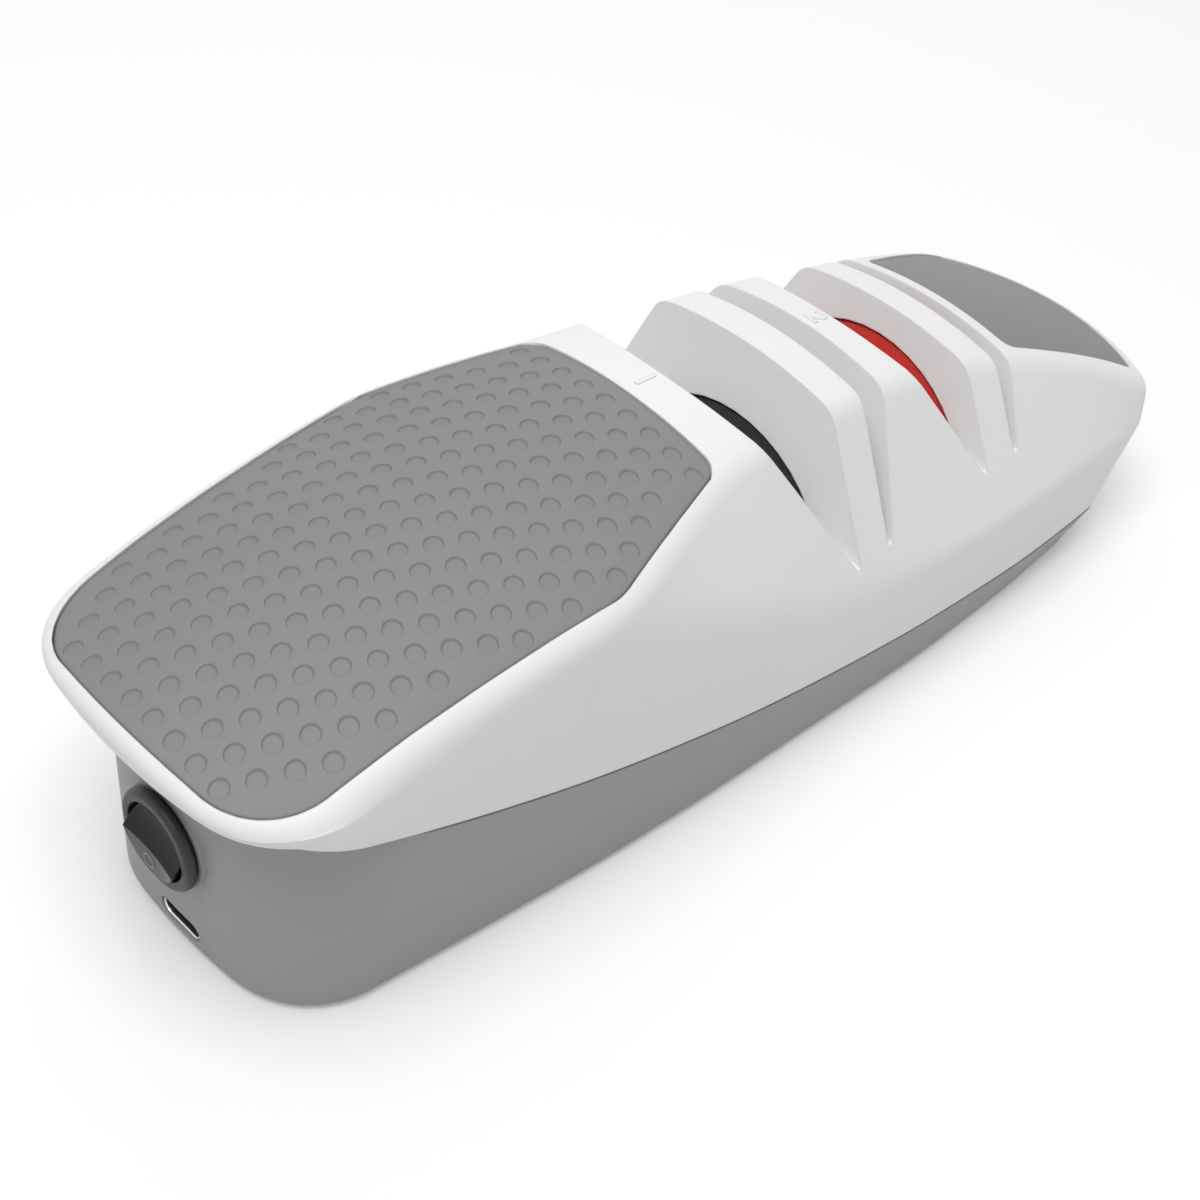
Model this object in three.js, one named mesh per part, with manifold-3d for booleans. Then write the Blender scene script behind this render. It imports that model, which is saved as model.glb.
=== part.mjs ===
// Cordless electric knife sharpener, in millimetres, +Z up.
// +X runs from the switch end to the curved far end, and the origin is under the middle of the body.
// A white upper shell with four blade slots sits on a deep grey casing. Inside, two lithium cells feed a
// motor that turns two double cone wheels on one shaft, and the wheels show through arches in the fins.
import * as THREE from 'three';
import { mergeVertices } from 'three/addons/utils/BufferGeometryUtils.js';
import Module from 'manifold-3d';

const wasm = await Module();
wasm.setup();

// Overall form
const length = 215;
const height = 64;
const width = 64.4;
const wall = 2.4;
const crownRadius = 76;
const overrun = 6;
const fitGap = 0.3;
const runGap = 0.08;
const seamGap = 0.35;
const weld = 0.0005;
const flatness = 0.03;
const easeReach = 5;
const halfLength = length / 2;
const halfWidth = width / 2;

// Outlines in plan: how the ends bow and how round the corners are
const nearRadius = 110;
const farRadius = 44;
const cornerPull = 0.82;
const nearCorner = 14.5;
const casingNearCornerShare = 0.84;
const casingNearCorner = halfWidth * casingNearCornerShare;
const casingFootCornerShare = 0.466;
const casingFootCorner = halfWidth * casingFootCornerShare;
const farCorner = 3;
const rimRound = 2.6;

// Seam between the shell and the casing
const seamNearDrop = 19.6;
const seamNearHeight = height - seamNearDrop;
const seamFarHeight = 9.8;
const seamNearInset = 10;
const lipInset = 1.9;
const creaseInset = 0.8;
const seamFarInset = 12;

// Lower casing
const casingNearInset = 7.2;
const nearDraft = 1.7;
const farDraft = 4.6;
const bottomRound = 1.6;
const lipRoot = 4;
const lipTall = 1.4;
const lipThickness = 1.5;
const footProud = 0.6;
const floorWall = 1.8;

// Grip pad and end pad
const padThickness = 2.2;
const rimRise = 0.3;
const gripNearInset = 2.4;
const gripNear = -halfLength + gripNearInset;
const gripShoulder = -42;
const gripFar = -14.6;
const gripMargin = 5.2;
const gripNearHalf = halfWidth - gripMargin;
const gripShoulderMargin = 3.3;
const gripShoulderHalf = halfWidth - gripShoulderMargin;
const gripFarShare = 0.609;
const gripFarHalf = halfWidth * gripFarShare;
const gripNearCorner = 13;
const gripFarCorner = 2.5;
const endPadSetBack = 15.2;
const endPadFarInset = 4.9;
const endPadNearShare = 0.503;
const endPadNearHalf = halfWidth * endPadNearShare;
const endPadFarShare = 0.702;
const endPadFarHalf = halfWidth * endPadFarShare;
const endPadCorner = 2;

// Blade slots and the fins between them
const slotFloor = 34;
const slotRound = 0.8;
const wideLean = 32;
const narrowLean = 11.3;
const firstFin = 12.5;
const secondFin = 48.4;
const finWidth = 7.8;
const narrowFloor = 1.2;
const slotTop = 80;
const endPadNear = secondFin + endPadSetBack;
const endPadFar = halfLength - endPadFarInset;

// Drive line
const shaftHeight = 25;
const shaftRadius = 2.5;
const shaftNear = -7;
const shaftFar = 74;
const wheelRadius = 21.5;
const wheelGap = 0.7;
const rimSetBack = 0.4;
const coneAngle = 20;
const coneFoot = 9;
const hubBarrel = 6;
const hubWall = 1.6;

// Motor
const motorRadius = 13.2;
const motorLength = 36;
const motorFace = -20;
const motorBossRadius = 5;
const motorBossLength = 2;
const bellLength = 4;
const mountThickness = 2.4;
const mountHalf = 9.2;
const mountTall = 11;
const faceScrewOffset = 8;
const motorShaftRadius = 1.6;
const motorShaftOut = 12.5;
const motorShaftIn = 12;

// Cells
const cellShare = 0.1118;
const cellOffsetShare = 0.2717;
const cellRadius = width * cellShare;
const cellLength = 50;
const cellNear = -54;
const cellNib = 1;
const cellOffset = width * cellOffsetShare;
const linkThickness = 0.5;
const linkTall = 6;

// Switch
const switchHeight = 24.5;
const switchTurn = 7;
const flangeRadius = 8.3;
const flangeThickness = 2.1;
const flangeBevel = 0.9;
const barrelRadius = 7.3;
const barrelLength = 13;
const rockerRadius = 6.1;
const rockerTilt = 22;
const rockerProud = 1.25;
const ridgeDrop = 1.2;
const dishDepth = 0.65;
const pinDepth = 1;
const pinRadius = 0.9;
const rockerDepth = 2.6;
const terminalLength = 8;
const terminalHalf = 1.4;
const terminalThin = 0.8;
const terminalSeat = 1.5;
const terminalOffset = 3.4;

// Charging socket
const socketHeight = 5.1;
const socketWidth = 8.94;
const socketTall = 3.26;
const socketDepth = 7.3;
const socketSheet = 0.35;
const socketRecess = 1.6;
const socketMargin = 0.2;

// Fasteners and feet
const screwRadius = 1.4;
const screwHeadRadius = 2.6;
const screwHeadHeight = 1.8;
const screwLength = 18;
const smallScrewRadius = 1.1;
const smallHeadRadius = 1.9;
const smallHeadHeight = 1.3;
const postRadius = 4.2;
const footRadius = 5;
const footDepth = 1;

// Control board and what it carries
const boardThickness = 0.9;
const boardLength = 28;
const boardHalf = 14;
const chipSize = 5;
const chipTall = 1;
const coilRadius = 3;
const coilTall = 3.2;

// How finely round things are cut into flats
const fine = 40;
const medium = 20;
const coarse = 12;
const cornerSteps = 8;
const edgeSteps = 3;
const crownColumns = 12;
const roofColumns = 4;
const roundSteps = 3;
const dishSteps = 6;

const rad = THREE.MathUtils.degToRad;

// Colours and finishes read from the photograph
const finishes = {
  white: { color: 0xf1f1f0, roughness: 0.5, metalness: 0 },
  grey: { color: 0x8b8b8b, roughness: 0.55, metalness: 0 },
  rubberGrey: { color: 0x7f7f7f, roughness: 0.8, metalness: 0 },
  black: { color: 0x1b1b1c, roughness: 0.4, metalness: 0 },
  darkGrey: { color: 0x47494a, roughness: 0.5, metalness: 0 },
  blackGrit: { color: 0x202021, roughness: 0.85, metalness: 0 },
  redGrit: { color: 0xb02427, roughness: 0.6, metalness: 0 },
  steel: { color: 0xc4c6c8, roughness: 0.3, metalness: 1 },
  zinc: { color: 0xa9adb0, roughness: 0.45, metalness: 1 },
  bronze: { color: 0xa9793f, roughness: 0.5, metalness: 1 },
  nickel: { color: 0xbfb9ac, roughness: 0.35, metalness: 1 },
  brass: { color: 0xc9a450, roughness: 0.35, metalness: 1 },
  cellWrap: { color: 0x2f6f8f, roughness: 0.35, metalness: 0 },
  board: { color: 0x1f5b3a, roughness: 0.5, metalness: 0 },
  amber: { color: 0xc98a2b, roughness: 0.6, metalness: 0 },
};

const part = new THREE.Group();

function addPart(name, geometry, finish) {
  const mesh = new THREE.Mesh(geometry, new THREE.MeshStandardMaterial(finishes[finish]));
  mesh.name = name;
  part.add(mesh);
  return mesh;
}

// Joining and cutting closed shapes

function toSolid(geometry) {
  const bare = geometry.clone();
  for (const name of Object.keys(bare.attributes)) {
    if (name !== 'position') bare.deleteAttribute(name);
  }
  const merged = mergeVertices(bare, weld);
  return new wasm.Manifold(new wasm.Mesh({
    numProp: 3,
    vertProperties: new Float32Array(merged.attributes.position.array),
    triVerts: new Uint32Array(merged.index.array),
  }));
}

function toGeometry(solid) {
  const mesh = solid.simplify(flatness).getMesh();
  const geometry = new THREE.BufferGeometry();
  geometry.setAttribute('position', new THREE.BufferAttribute(mesh.vertProperties, mesh.numProp));
  geometry.setIndex(new THREE.BufferAttribute(mesh.triVerts, 1));
  const flat = geometry.toNonIndexed();
  flat.computeVertexNormals();
  return flat;
}

function join(...solids) {
  return solids.reduce((whole, solid) => whole.add(solid));
}

function cut(solid, ...tools) {
  return tools.reduce((left, tool) => left.subtract(tool), solid);
}

// Plain forms, each given as a solid

function box(x0, x1, y0, y1, z0, z1) {
  const geometry = new THREE.BoxGeometry(x1 - x0, y1 - y0, z1 - z0);
  geometry.translate((x0 + x1) / 2, (y0 + y1) / 2, (z0 + z1) / 2);
  return toSolid(geometry);
}

function revolve(profile, steps) {
  const points = profile.map(([along, radius]) => new THREE.Vector2(radius, along));
  const geometry = new THREE.LatheGeometry(points, steps);
  return geometry;
}

// A turned form along +X; its profile is a list of [x, radius] that starts and ends on the axis
function turned(profile, y, z, steps) {
  const geometry = revolve(profile, steps);
  geometry.rotateZ(-Math.PI / 2);
  geometry.translate(0, y, z);
  return toSolid(geometry);
}

function rodX(x0, x1, radius, y, z, steps) {
  return turned([[x0, 0], [x0, radius], [x1, radius], [x1, 0]], y, z, steps);
}

function rodZ(z0, z1, radius, x, y, steps) {
  const geometry = revolve([[z0, 0], [z0, radius], [z1, radius], [z1, 0]], steps);
  geometry.rotateX(Math.PI / 2);
  geometry.translate(x, y, 0);
  return toSolid(geometry);
}

function tube(x0, x1, inner, outer, y, z, steps) {
  return cut(rodX(x0, x1, outer, y, z, steps), rodX(x0 - overrun, x1 + overrun, inner, y, z, steps));
}

function outlineShape(points) {
  return new THREE.Shape(points.map(([a, b]) => new THREE.Vector2(a, b)));
}

// An outline of [x, y] points raised from z0 to z1
function prismZ(points, z0, z1) {
  const geometry = new THREE.ExtrudeGeometry(outlineShape(points), { depth: z1 - z0, bevelEnabled: false });
  geometry.translate(0, 0, z0);
  return toSolid(geometry);
}

// An outline of [x, z] points run from y0 to y1
function prismY(points, y0, y1) {
  const geometry = new THREE.ExtrudeGeometry(outlineShape(points), { depth: y1 - y0, bevelEnabled: false });
  geometry.rotateX(Math.PI / 2);
  geometry.translate(0, y1, 0);
  return toSolid(geometry);
}

// An outline of [y, z] points run from x0 to x1
function prismX(points, x0, x1) {
  const geometry = new THREE.ExtrudeGeometry(outlineShape(points), { depth: x1 - x0, bevelEnabled: false });
  geometry.rotateX(Math.PI / 2);
  geometry.rotateZ(Math.PI / 2);
  geometry.translate(x0, 0, 0);
  return toSolid(geometry);
}

function stadium(halfLong, halfTall, steps) {
  const points = [];
  for (const side of [1, -1]) {
    for (let step = 0; step <= steps; step++) {
      const angle = Math.PI * (step / steps - 1 / 2);
      const along = side * (halfLong - halfTall + halfTall * Math.cos(angle));
      points.push([along, side * halfTall * Math.sin(angle)]);
    }
  }
  return points;
}

// Curves given as shares: x runs from -1 to 1 along half the length, the value is a share of a size

function between(shares, x) {
  const at = x / halfLength;
  let step = 0;
  while (step < shares.length - 2 && at > shares[step + 1][0]) step++;
  const [a, valueA] = shares[step];
  const [b, valueB] = shares[step + 1];
  return THREE.MathUtils.lerp(valueA, valueB, (at - a) / (b - a));
}

function slopeAt(shares, i) {
  const before = shares[Math.max(i - 1, 0)];
  const after = shares[Math.min(i + 1, shares.length - 1)];
  return (after[1] - before[1]) / (after[0] - before[0]);
}

function smoothly(shares, x) {
  const at = x / halfLength;
  let step = 0;
  while (step < shares.length - 2 && at > shares[step + 1][0]) step++;
  const [a, valueA] = shares[step];
  const [b, valueB] = shares[step + 1];
  const span = b - a;
  const t = (at - a) / span;
  const rise = t * t * (3 - 2 * t);
  const lead = t * (1 - t) * (1 - t) * span * slopeAt(shares, step);
  const trail = t * t * (t - 1) * span * slopeAt(shares, step + 1);
  return THREE.MathUtils.lerp(valueA, valueB, rise) + lead + trail;
}

// Top line along the middle, as shares of the height
const crownShares = [
  [-1, 0.775], [-0.781, 0.891], [-0.58, 0.956], [-0.391, 0.99], [-0.205, 1], [-0.03, 0.984],
  [0.112, 0.951], [0.28, 0.904], [0.447, 0.831], [0.586, 0.762], [0.781, 0.638], [0.912, 0.53], [1, 0.438],
];
// Side wall in plan, as shares of the half width
const sideShares = [
  [-0.88, 0.945], [-0.42, 0.985], [-0.1, 1], [0.28, 1], [0.56, 0.98], [0.75, 0.935], [0.9, 0.875], [1, 0.825],
];
// Foot of the casing in plan
const bottomShares = [
  [-0.8, 0.8], [-0.69, 0.835], [-0.56, 0.872], [-0.37, 0.92], [-0.17, 0.945], [0.33, 0.955],
  [0.56, 0.915], [0.76, 0.845], [0.9, 0.77],
];
// Top edge in plan, which turns in at the pad's shoulder and out again to the far end
const edgeShares = [
  [-0.88, 0.905], [-0.78, 0.925], [-0.6, 0.95], [-0.39, 0.976], [-0.13, 0.672], [0.112, 0.592], [0.28, 0.562],
  [0.447, 0.572], [0.586, 0.612], [0.781, 0.712], [0.912, 0.84], [1, 0.89],
];
// Crease where the leaning flank meets the side wall, as shares of the height
const creaseShares = [
  [-1, 0.715], [-0.781, 0.745], [-0.58, 0.79], [-0.42, 0.83], [-0.198, 0.694], [0, 0.522],
  [0.19, 0.434], [0.4, 0.4], [0.716, 0.378], [0.9, 0.345], [1, 0.34],
];
// How quickly the seam falls from the switch end
const seamFallShare = 2.42;

const seamNear = -halfLength + seamNearInset;
const seamFar = halfLength - seamFarInset;

function crown(x, y) {
  return height * smoothly(crownShares, x) - y * y / (2 * crownRadius);
}

function seam(x) {
  const share = THREE.MathUtils.clamp((seamFar - x) / (seamFar - seamNear), 0, 1);
  return seamFarHeight + (seamNearHeight - seamFarHeight) * share ** seamFallShare;
}

// Straight runs with their corners rounded, as a mean over a short reach to each side
function eased(shares, x) {
  const steps = [-1, -1 / 2, 0, 1 / 2, 1];
  return steps.reduce((sum, step) => sum + between(shares, x + step * easeReach), 0) / steps.length;
}

const sideAt = (x) => halfWidth * eased(sideShares, x);
const bottomAt = (x) => halfWidth * eased(bottomShares, x);
const edgeAt = (x) => halfWidth * eased(edgeShares, x);
const creaseAt = (x) => height * eased(creaseShares, x);

// Lofted bodies: rings of points, each a half outline from the near middle to the far middle

// Where the long sides are cut into steps, as shares of their length
const stationShares = [
  0.05, 0.12, 0.19, 0.23, 0.255, 0.28, 0.305, 0.34, 0.38, 0.42, 0.47, 0.52, 0.57, 0.62, 0.67, 0.72, 0.77, 0.82,
  0.87, 0.92, 0.96,
];

// Corners run as smooth curves from the bowed end to the side, reaching the given distance along each
function halfOutline(near, far, half, nearRound, farRound) {
  const points = [];
  const nearSpot = near + nearRound;
  const nearSide = half(nearSpot);
  const nearStart = nearSide - nearRound;
  const nearX = (y) => near + y * y / (2 * nearRadius);
  const farSpot = far - (half(far) - farRound) ** 2 / (2 * farRadius) - farRound;
  const farSide = half(farSpot);
  const farStart = farSide - farRound;
  const farX = (y) => far - y * y / (2 * farRadius);
  for (let step = 0; step <= edgeSteps; step++) {
    const y = nearStart * step / edgeSteps;
    points.push([nearX(y), y]);
  }
  const nearTip = nearX(nearStart) + nearStart / nearRadius * nearRound;
  const nearEnd = nearTip + nearRound;
  for (let step = 1; step <= cornerSteps; step++) {
    const t = step / cornerSteps;
    points.push(curve(t, [nearX(nearStart), nearStart], [nearTip, nearSide], [nearEnd, half(nearEnd)], cornerPull));
  }
  const farTip = farX(farStart) - farStart / farRadius * farRound;
  const farEnd = farTip - farRound;
  for (const share of stationShares) {
    const x = THREE.MathUtils.lerp(nearEnd, farEnd, share);
    points.push([x, half(x)]);
  }
  for (let step = 0; step <= cornerSteps; step++) {
    const t = step / cornerSteps;
    points.push(curve(t, [farEnd, half(farEnd)], [farTip, farSide], [farX(farStart), farStart], cornerPull));
  }
  for (let step = 1; step <= edgeSteps; step++) {
    const y = farStart * (1 - step / edgeSteps);
    points.push([farX(y), y]);
  }
  return points;
}

// Point at t on a rounded corner from one end by way of a tip to the other; pull says how full it is
function curve(t, from, tip, to, pull) {
  const fall = (1 - t) * (1 - t);
  const middle = 2 * pull * t * (1 - t);
  const rise = t * t;
  const whole = fall + middle + rise;
  return from.map((value, axis) => (fall * value + middle * tip[axis] + rise * to[axis]) / whole);
}

function ringFrom(outline, level) {
  return outline.map(([x, y]) => [x, y, level(x, y)]);
}

// A cap across a ring: rows run from side to side at each pair of points, and level gives their height
function capRows(ring, columns, level) {
  return ring.map(([x, y, z]) => {
    const row = [];
    for (let step = 0; step <= columns; step++) {
      const across = y * (2 * step / columns - 1);
      row.push([x, across, step === 0 || step === columns ? z : level(x, across)]);
    }
    return row;
  });
}

function pushTriangle(list, a, b, c) {
  const same = (p, q) => p.every((value, i) => value === q[i]);
  if (same(a, b) || same(b, c) || same(a, c)) return;
  list.push(...a, ...b, ...c);
}

function pushCap(list, rows, up) {
  for (let i = 0; i < rows.length - 1; i++) {
    for (let j = 0; j < rows[i].length - 1; j++) {
      const corners = [rows[i][j], rows[i + 1][j], rows[i + 1][j + 1], rows[i][j + 1]];
      if (!up) corners.reverse();
      pushTriangle(list, corners[0], corners[1], corners[2]);
      pushTriangle(list, corners[0], corners[2], corners[3]);
    }
  }
}

function pushWall(list, low, high) {
  const mirror = ([x, y, z]) => [x, -y, z];
  for (let i = 0; i < low.length - 1; i++) {
    const left = [low[i], high[i], high[i + 1], low[i + 1]];
    pushTriangle(list, left[0], left[1], left[2]);
    pushTriangle(list, left[0], left[2], left[3]);
    const right = [low[i], low[i + 1], high[i + 1], high[i]].map(mirror);
    pushTriangle(list, right[0], right[1], right[2]);
    pushTriangle(list, right[0], right[2], right[3]);
  }
}

// Rings go from the bottom to the top; the top is capped with the level function, the bottom with its own
function loft(rings, topLevel, bottomLevel, columns) {
  const list = [];
  for (let i = 0; i < rings.length - 1; i++) pushWall(list, rings[i], rings[i + 1]);
  pushCap(list, capRows(rings[rings.length - 1], columns, topLevel), true);
  pushCap(list, capRows(rings[0], 1, bottomLevel), false);
  const geometry = new THREE.BufferGeometry();
  geometry.setAttribute('position', new THREE.Float32BufferAttribute(list, 3));
  return toSolid(geometry);
}

// Top edge, rounded between the crown and the flank by a curve through three rings
function roundedEdge(edge, inner, lower) {
  const rings = [];
  for (let step = 0; step <= roundSteps; step++) {
    const t = step / roundSteps;
    rings.push(edge.map((point, i) => point.map((value, axis) => {
      const low = (1 - t) * (1 - t) * lower[i][axis];
      const middle = 2 * t * (1 - t) * value;
      return low + middle + t * t * inner[i][axis];
    })));
  }
  return rings;
}

function towards(from, to, distance) {
  const gap = Math.hypot(...to.map((value, axis) => value - from[axis]));
  return from.map((value, axis) => value + (to[axis] - value) * distance / gap);
}

// Shell body, outside and inside

const shellTop = (x, y) => crown(x, y) + rimRise;

function shellOutside() {
  const full = (half, inset, endInset) => halfOutline(
    -halfLength + endInset, halfLength - endInset, (x) => half(x) - inset, nearCorner, farCorner,
  );
  const edge = ringFrom(full(edgeAt, 0, 0), shellTop);
  const inner = ringFrom(full(edgeAt, rimRound, rimRound), shellTop);
  const crease = ringFrom(full(sideAt, 0, creaseInset), creaseAt);
  const base = halfOutline(
    -halfLength + lipInset, seamFar, sideAt, nearCorner, farCorner,
  );
  const lower = edge.map((point, i) => towards(point, crease[i], rimRound));
  const rings = [ringFrom(base, seam), crease, ...roundedEdge(edge, inner, lower)];
  return loft(rings, shellTop, seam, crownColumns);
}

function shellInside() {
  const near = -halfLength + casingNearInset + wall;
  const outline = (half, far) => halfOutline(
    near, far, (x) => half(x) - wall, nearCorner - wall, farCorner - wall,
  );
  const roof = (x, y) => crown(x, y) - padThickness - wall;
  const rings = [
    ringFrom(outline(sideAt, seamFar - 2 * wall), (x) => seam(x) - overrun),
    ringFrom(outline(sideAt, seamFar - 2 * wall), seam),
    ringFrom(outline(sideAt, halfLength - 2 * wall), (x) => creaseAt(x) - wall / 2),
    ringFrom(outline(edgeAt, halfLength - 2 * wall), roof),
  ];
  return loft(rings, roof, (x) => seam(x) - overrun, roofColumns);
}

// A slab whose top follows the crown, lowered by drop
function underCrown(drop) {
  const box = halfOutline(
    -length, length, () => width, overrun, overrun,
  );
  const clampX = (x) => THREE.MathUtils.clamp(x, -halfLength, halfLength);
  const level = (x, y) => crown(clampX(x), y) - drop;
  return loft([ringFrom(box, () => -width), ringFrom(box, level)], level, () => -width, 2 * crownColumns);
}

// Blade slots: a wide one with a leaning near wall, and a narrow one behind each fin

function wideSlot(fin, grow) {
  const lean = Math.tan(rad(wideLean));
  const spread = grow / Math.cos(rad(wideLean));
  const rise = slotTop - slotFloor + grow;
  const left = fin - slotRound - spread;
  return prismY([
    [left, slotFloor - grow], [fin + grow, slotFloor - grow], [fin + grow, slotTop], [left - rise * lean, slotTop],
  ], -width, width);
}

function narrowSlot(fin, grow) {
  const lean = Math.tan(rad(narrowLean));
  const near = fin + finWidth - grow;
  const right = fin + finWidth + narrowFloor + grow;
  const rise = slotTop - slotFloor + grow;
  return prismY([
    [near, slotFloor - grow], [right, slotFloor - grow], [right + rise * lean, slotTop], [near, slotTop],
  ], -width, width);
}

function slots(grow) {
  return join(
    wideSlot(firstFin, grow), narrowSlot(firstFin, grow), wideSlot(secondFin, grow), narrowSlot(secondFin, grow),
  );
}

// Wheels: the double cone, and the room that it turns in

const coneBulge = (wheelRadius - coneFoot) * Math.tan(rad(coneAngle));

function wheelProfile(fin, grow) {
  const near = fin + rimSetBack - grow;
  const far = fin + finWidth - rimSetBack + grow;
  return {
    near, far, footNear: near - coneBulge, footFar: far + coneBulge,
  };
}

function wheelRoom(fin) {
  const { near, far, footNear, footFar } = wheelProfile(fin, wheelGap);
  const foot = coneFoot + wheelGap;
  const reach = wheelRadius + wheelGap;
  return turned([
    [footNear, 0], [footNear, foot], [near, reach], [far, reach], [footFar, foot], [footFar, 0],
  ], 0, shaftHeight, fine);
}

function wheel(fin) {
  const { near, far, footNear, footFar } = wheelProfile(fin, 0);
  const body = turned([
    [footNear, 0], [footNear, coneFoot], [near, wheelRadius], [far, wheelRadius], [footFar, coneFoot], [footFar, 0],
  ], 0, shaftHeight, fine);
  const bore = rodX(footNear - overrun, footFar + overrun, hubBarrel + fitGap, 0, shaftHeight, medium);
  return cut(body, bore);
}

function hub(fin) {
  const { footNear, footFar } = wheelProfile(fin, 0);
  const flange = hubWall + fitGap;
  const barrel = rodX(footNear - flange, footFar, hubBarrel, 0, shaftHeight, medium);
  const collar = rodX(footNear - flange, footNear - fitGap, coneFoot - fitGap, 0, shaftHeight, medium);
  const bore = rodX(footNear - overrun, footFar + overrun, shaftRadius + fitGap, 0, shaftHeight, coarse);
  return cut(join(barrel, collar), bore);
}

// Pads

function gripOutline(grow) {
  const shape = [];
  const corner = gripNearCorner + grow;
  const near = gripNear - grow;
  const nearHalf = gripNearHalf + grow;
  const straight = nearHalf - corner;
  const bow = (y) => y * y / (2 * nearRadius);
  for (let step = 0; step < edgeSteps; step++) {
    const y = straight * step / edgeSteps;
    shape.push([near + bow(y), y]);
  }
  for (let step = 0; step <= cornerSteps; step++) {
    const angle = Math.PI / 2 * step / cornerSteps;
    shape.push([near + bow(straight) + corner * (1 - Math.cos(angle)), straight + corner * Math.sin(angle)]);
  }
  shape.push([gripShoulder, gripShoulderHalf + grow]);
  const far = gripFar + grow;
  shape.push([far - gripFarCorner, gripFarHalf + gripFarCorner / 2 + grow]);
  shape.push([far, gripFarHalf - gripFarCorner + grow]);
  const mirrored = shape.slice(1).reverse().map(([x, y]) => [x, -y]);
  return [...shape, ...mirrored].reverse();
}

function endPadOutline(grow) {
  const near = endPadNear - grow;
  const far = endPadFar + grow;
  const nearHalf = endPadNearHalf + grow;
  const farHalf = endPadFarHalf + grow;
  const bow = farHalf * farHalf / (2 * farRadius);
  const shape = [
    [near, 0], [near, nearHalf - endPadCorner], [near + endPadCorner, nearHalf],
    [far - bow - endPadCorner, farHalf], [far - bow, farHalf - endPadCorner / 2],
  ];
  const steps = 2 * edgeSteps;
  for (let step = steps - 1; step >= 0; step--) {
    const share = step / steps;
    shape.push([far - bow * share * share, (farHalf - endPadCorner / 2) * share]);
  }
  const mirrored = shape.slice(1, -1).reverse().map(([x, y]) => [x, -y]);
  return [...shape, ...mirrored].reverse();
}

function padSolid(outline, top) {
  const column = prismZ(outline, 0, slotTop);
  return cut(column.intersect(underCrown(top)), underCrown(padThickness));
}

function padRecess(outline) {
  return cut(prismZ(outline, 0, slotTop), underCrown(padThickness + fitGap));
}

// Shell fittings and the screw posts below them

// Screws stand in pairs at each end, as shares of half the length and half the width
const screwShares = [[-0.76, 0.62], [0.7, 0.58]];
const screwPlaces = screwShares.flatMap(([along, across]) => [1, -1].map(
  (side) => [along * halfLength, side * across * halfWidth],
));
const footShares = [[-0.62, 0.66], [0.56, 0.66]];
const footPlaces = footShares.flatMap(([along, across]) => [1, -1].map(
  (side) => [along * halfLength, side * across * halfWidth],
));
const lowestSeat = footProud + 2 * screwHeadHeight;
const bossStart = (x) => Math.max(seam(x) - overrun, lowestSeat + overrun);
const screwSeat = (x) => Math.max(lowestSeat, bossStart(x) - screwLength / 2);

function shellBosses() {
  return join(...screwPlaces.map(([x, y]) => rodZ(bossStart(x), slotTop, postRadius, x, y, coarse)));
}

function screwHoles(radius) {
  return join(...screwPlaces.map(([x, y]) => rodZ(
    -overrun, screwSeat(x) + screwLength + fitGap, radius, x, y, coarse,
  )));
}

function upperShell() {
  const room = cut(shellInside(), slots(wall), shellBosses());
  return cut(
    shellOutside(), room, slots(0), wheelRoom(firstFin), wheelRoom(secondFin),
    padRecess(gripOutline(fitGap)), padRecess(endPadOutline(fitGap)), screwHoles(screwRadius + fitGap / 2),
  );
}

// Lower casing

const casingBase = footProud;
const casingFloor = casingBase + floorWall;
const casingNear = -halfLength + casingNearInset;

function casingOutline(rise, inset) {
  const drop = 1 - rise;
  const near = casingNear + nearDraft * drop + inset;
  const far = seamFar - farDraft * drop - inset;
  const half = (x) => THREE.MathUtils.lerp(bottomAt(x), sideAt(x), rise) - inset;
  const corner = THREE.MathUtils.lerp(casingFootCorner, casingNearCorner, rise) - inset;
  return halfOutline(near, far, half, corner, farCorner - inset / 2);
}

function casingOutside() {
  const top = (x) => seam(x) - seamGap;
  const roundShare = 1 - Math.SQRT1_2;
  const rings = [
    ringFrom(casingOutline(0, bottomRound), () => casingBase),
    ringFrom(casingOutline(0, bottomRound * roundShare), () => casingBase + bottomRound * roundShare),
    ringFrom(casingOutline(0, 0), () => casingBase + bottomRound),
    ringFrom(casingOutline(1, 0), top),
  ];
  return loft(rings, top, () => casingBase, 1);
}

function casingInside() {
  const top = (x) => seam(x) + overrun;
  const rings = [
    ringFrom(casingOutline(0, wall + bottomRound / 2), () => casingFloor),
    ringFrom(casingOutline(0, wall), () => casingFloor + bottomRound / 2),
    ringFrom(casingOutline(1, wall), top),
  ];
  return loft(rings, top, () => casingFloor, 1);
}

// Lip inside the seam that keeps light and dust out, left off at the raked far end
function seamLip() {
  const rings = (lift, inset) => ringFrom(casingOutline(1, inset), (x) => seam(x) + lift);
  const root = wall / 2;
  const outer = [
    rings(-lipRoot, root), rings(-lipTall, root), rings(-seamGap, wall + fitGap), rings(lipTall, wall + fitGap),
  ];
  const inner = [rings(-2 * lipRoot, wall + lipThickness), rings(2 * lipTall, wall + lipThickness)];
  const ring = cut(
    loft(outer, (x) => seam(x) + lipTall, (x) => seam(x) - lipRoot, 1),
    loft(inner, (x) => seam(x) + 2 * lipTall, (x) => seam(x) - 2 * lipRoot, 1),
  );
  return cut(ring, box(seamFar - 4 * lipRoot, length, -width, width, -height, height));
}

// Bearings stand clear of the wheels on both sides
const bushRadius = 5;
const bushLength = 5;
const bushNear = -1.5;
const bushFar = 65.5;
const postHalf = 11;
const capHeight = 4.5;
const capScrewOffset = 8.5;
const ribThickness = 2.4;

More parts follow.
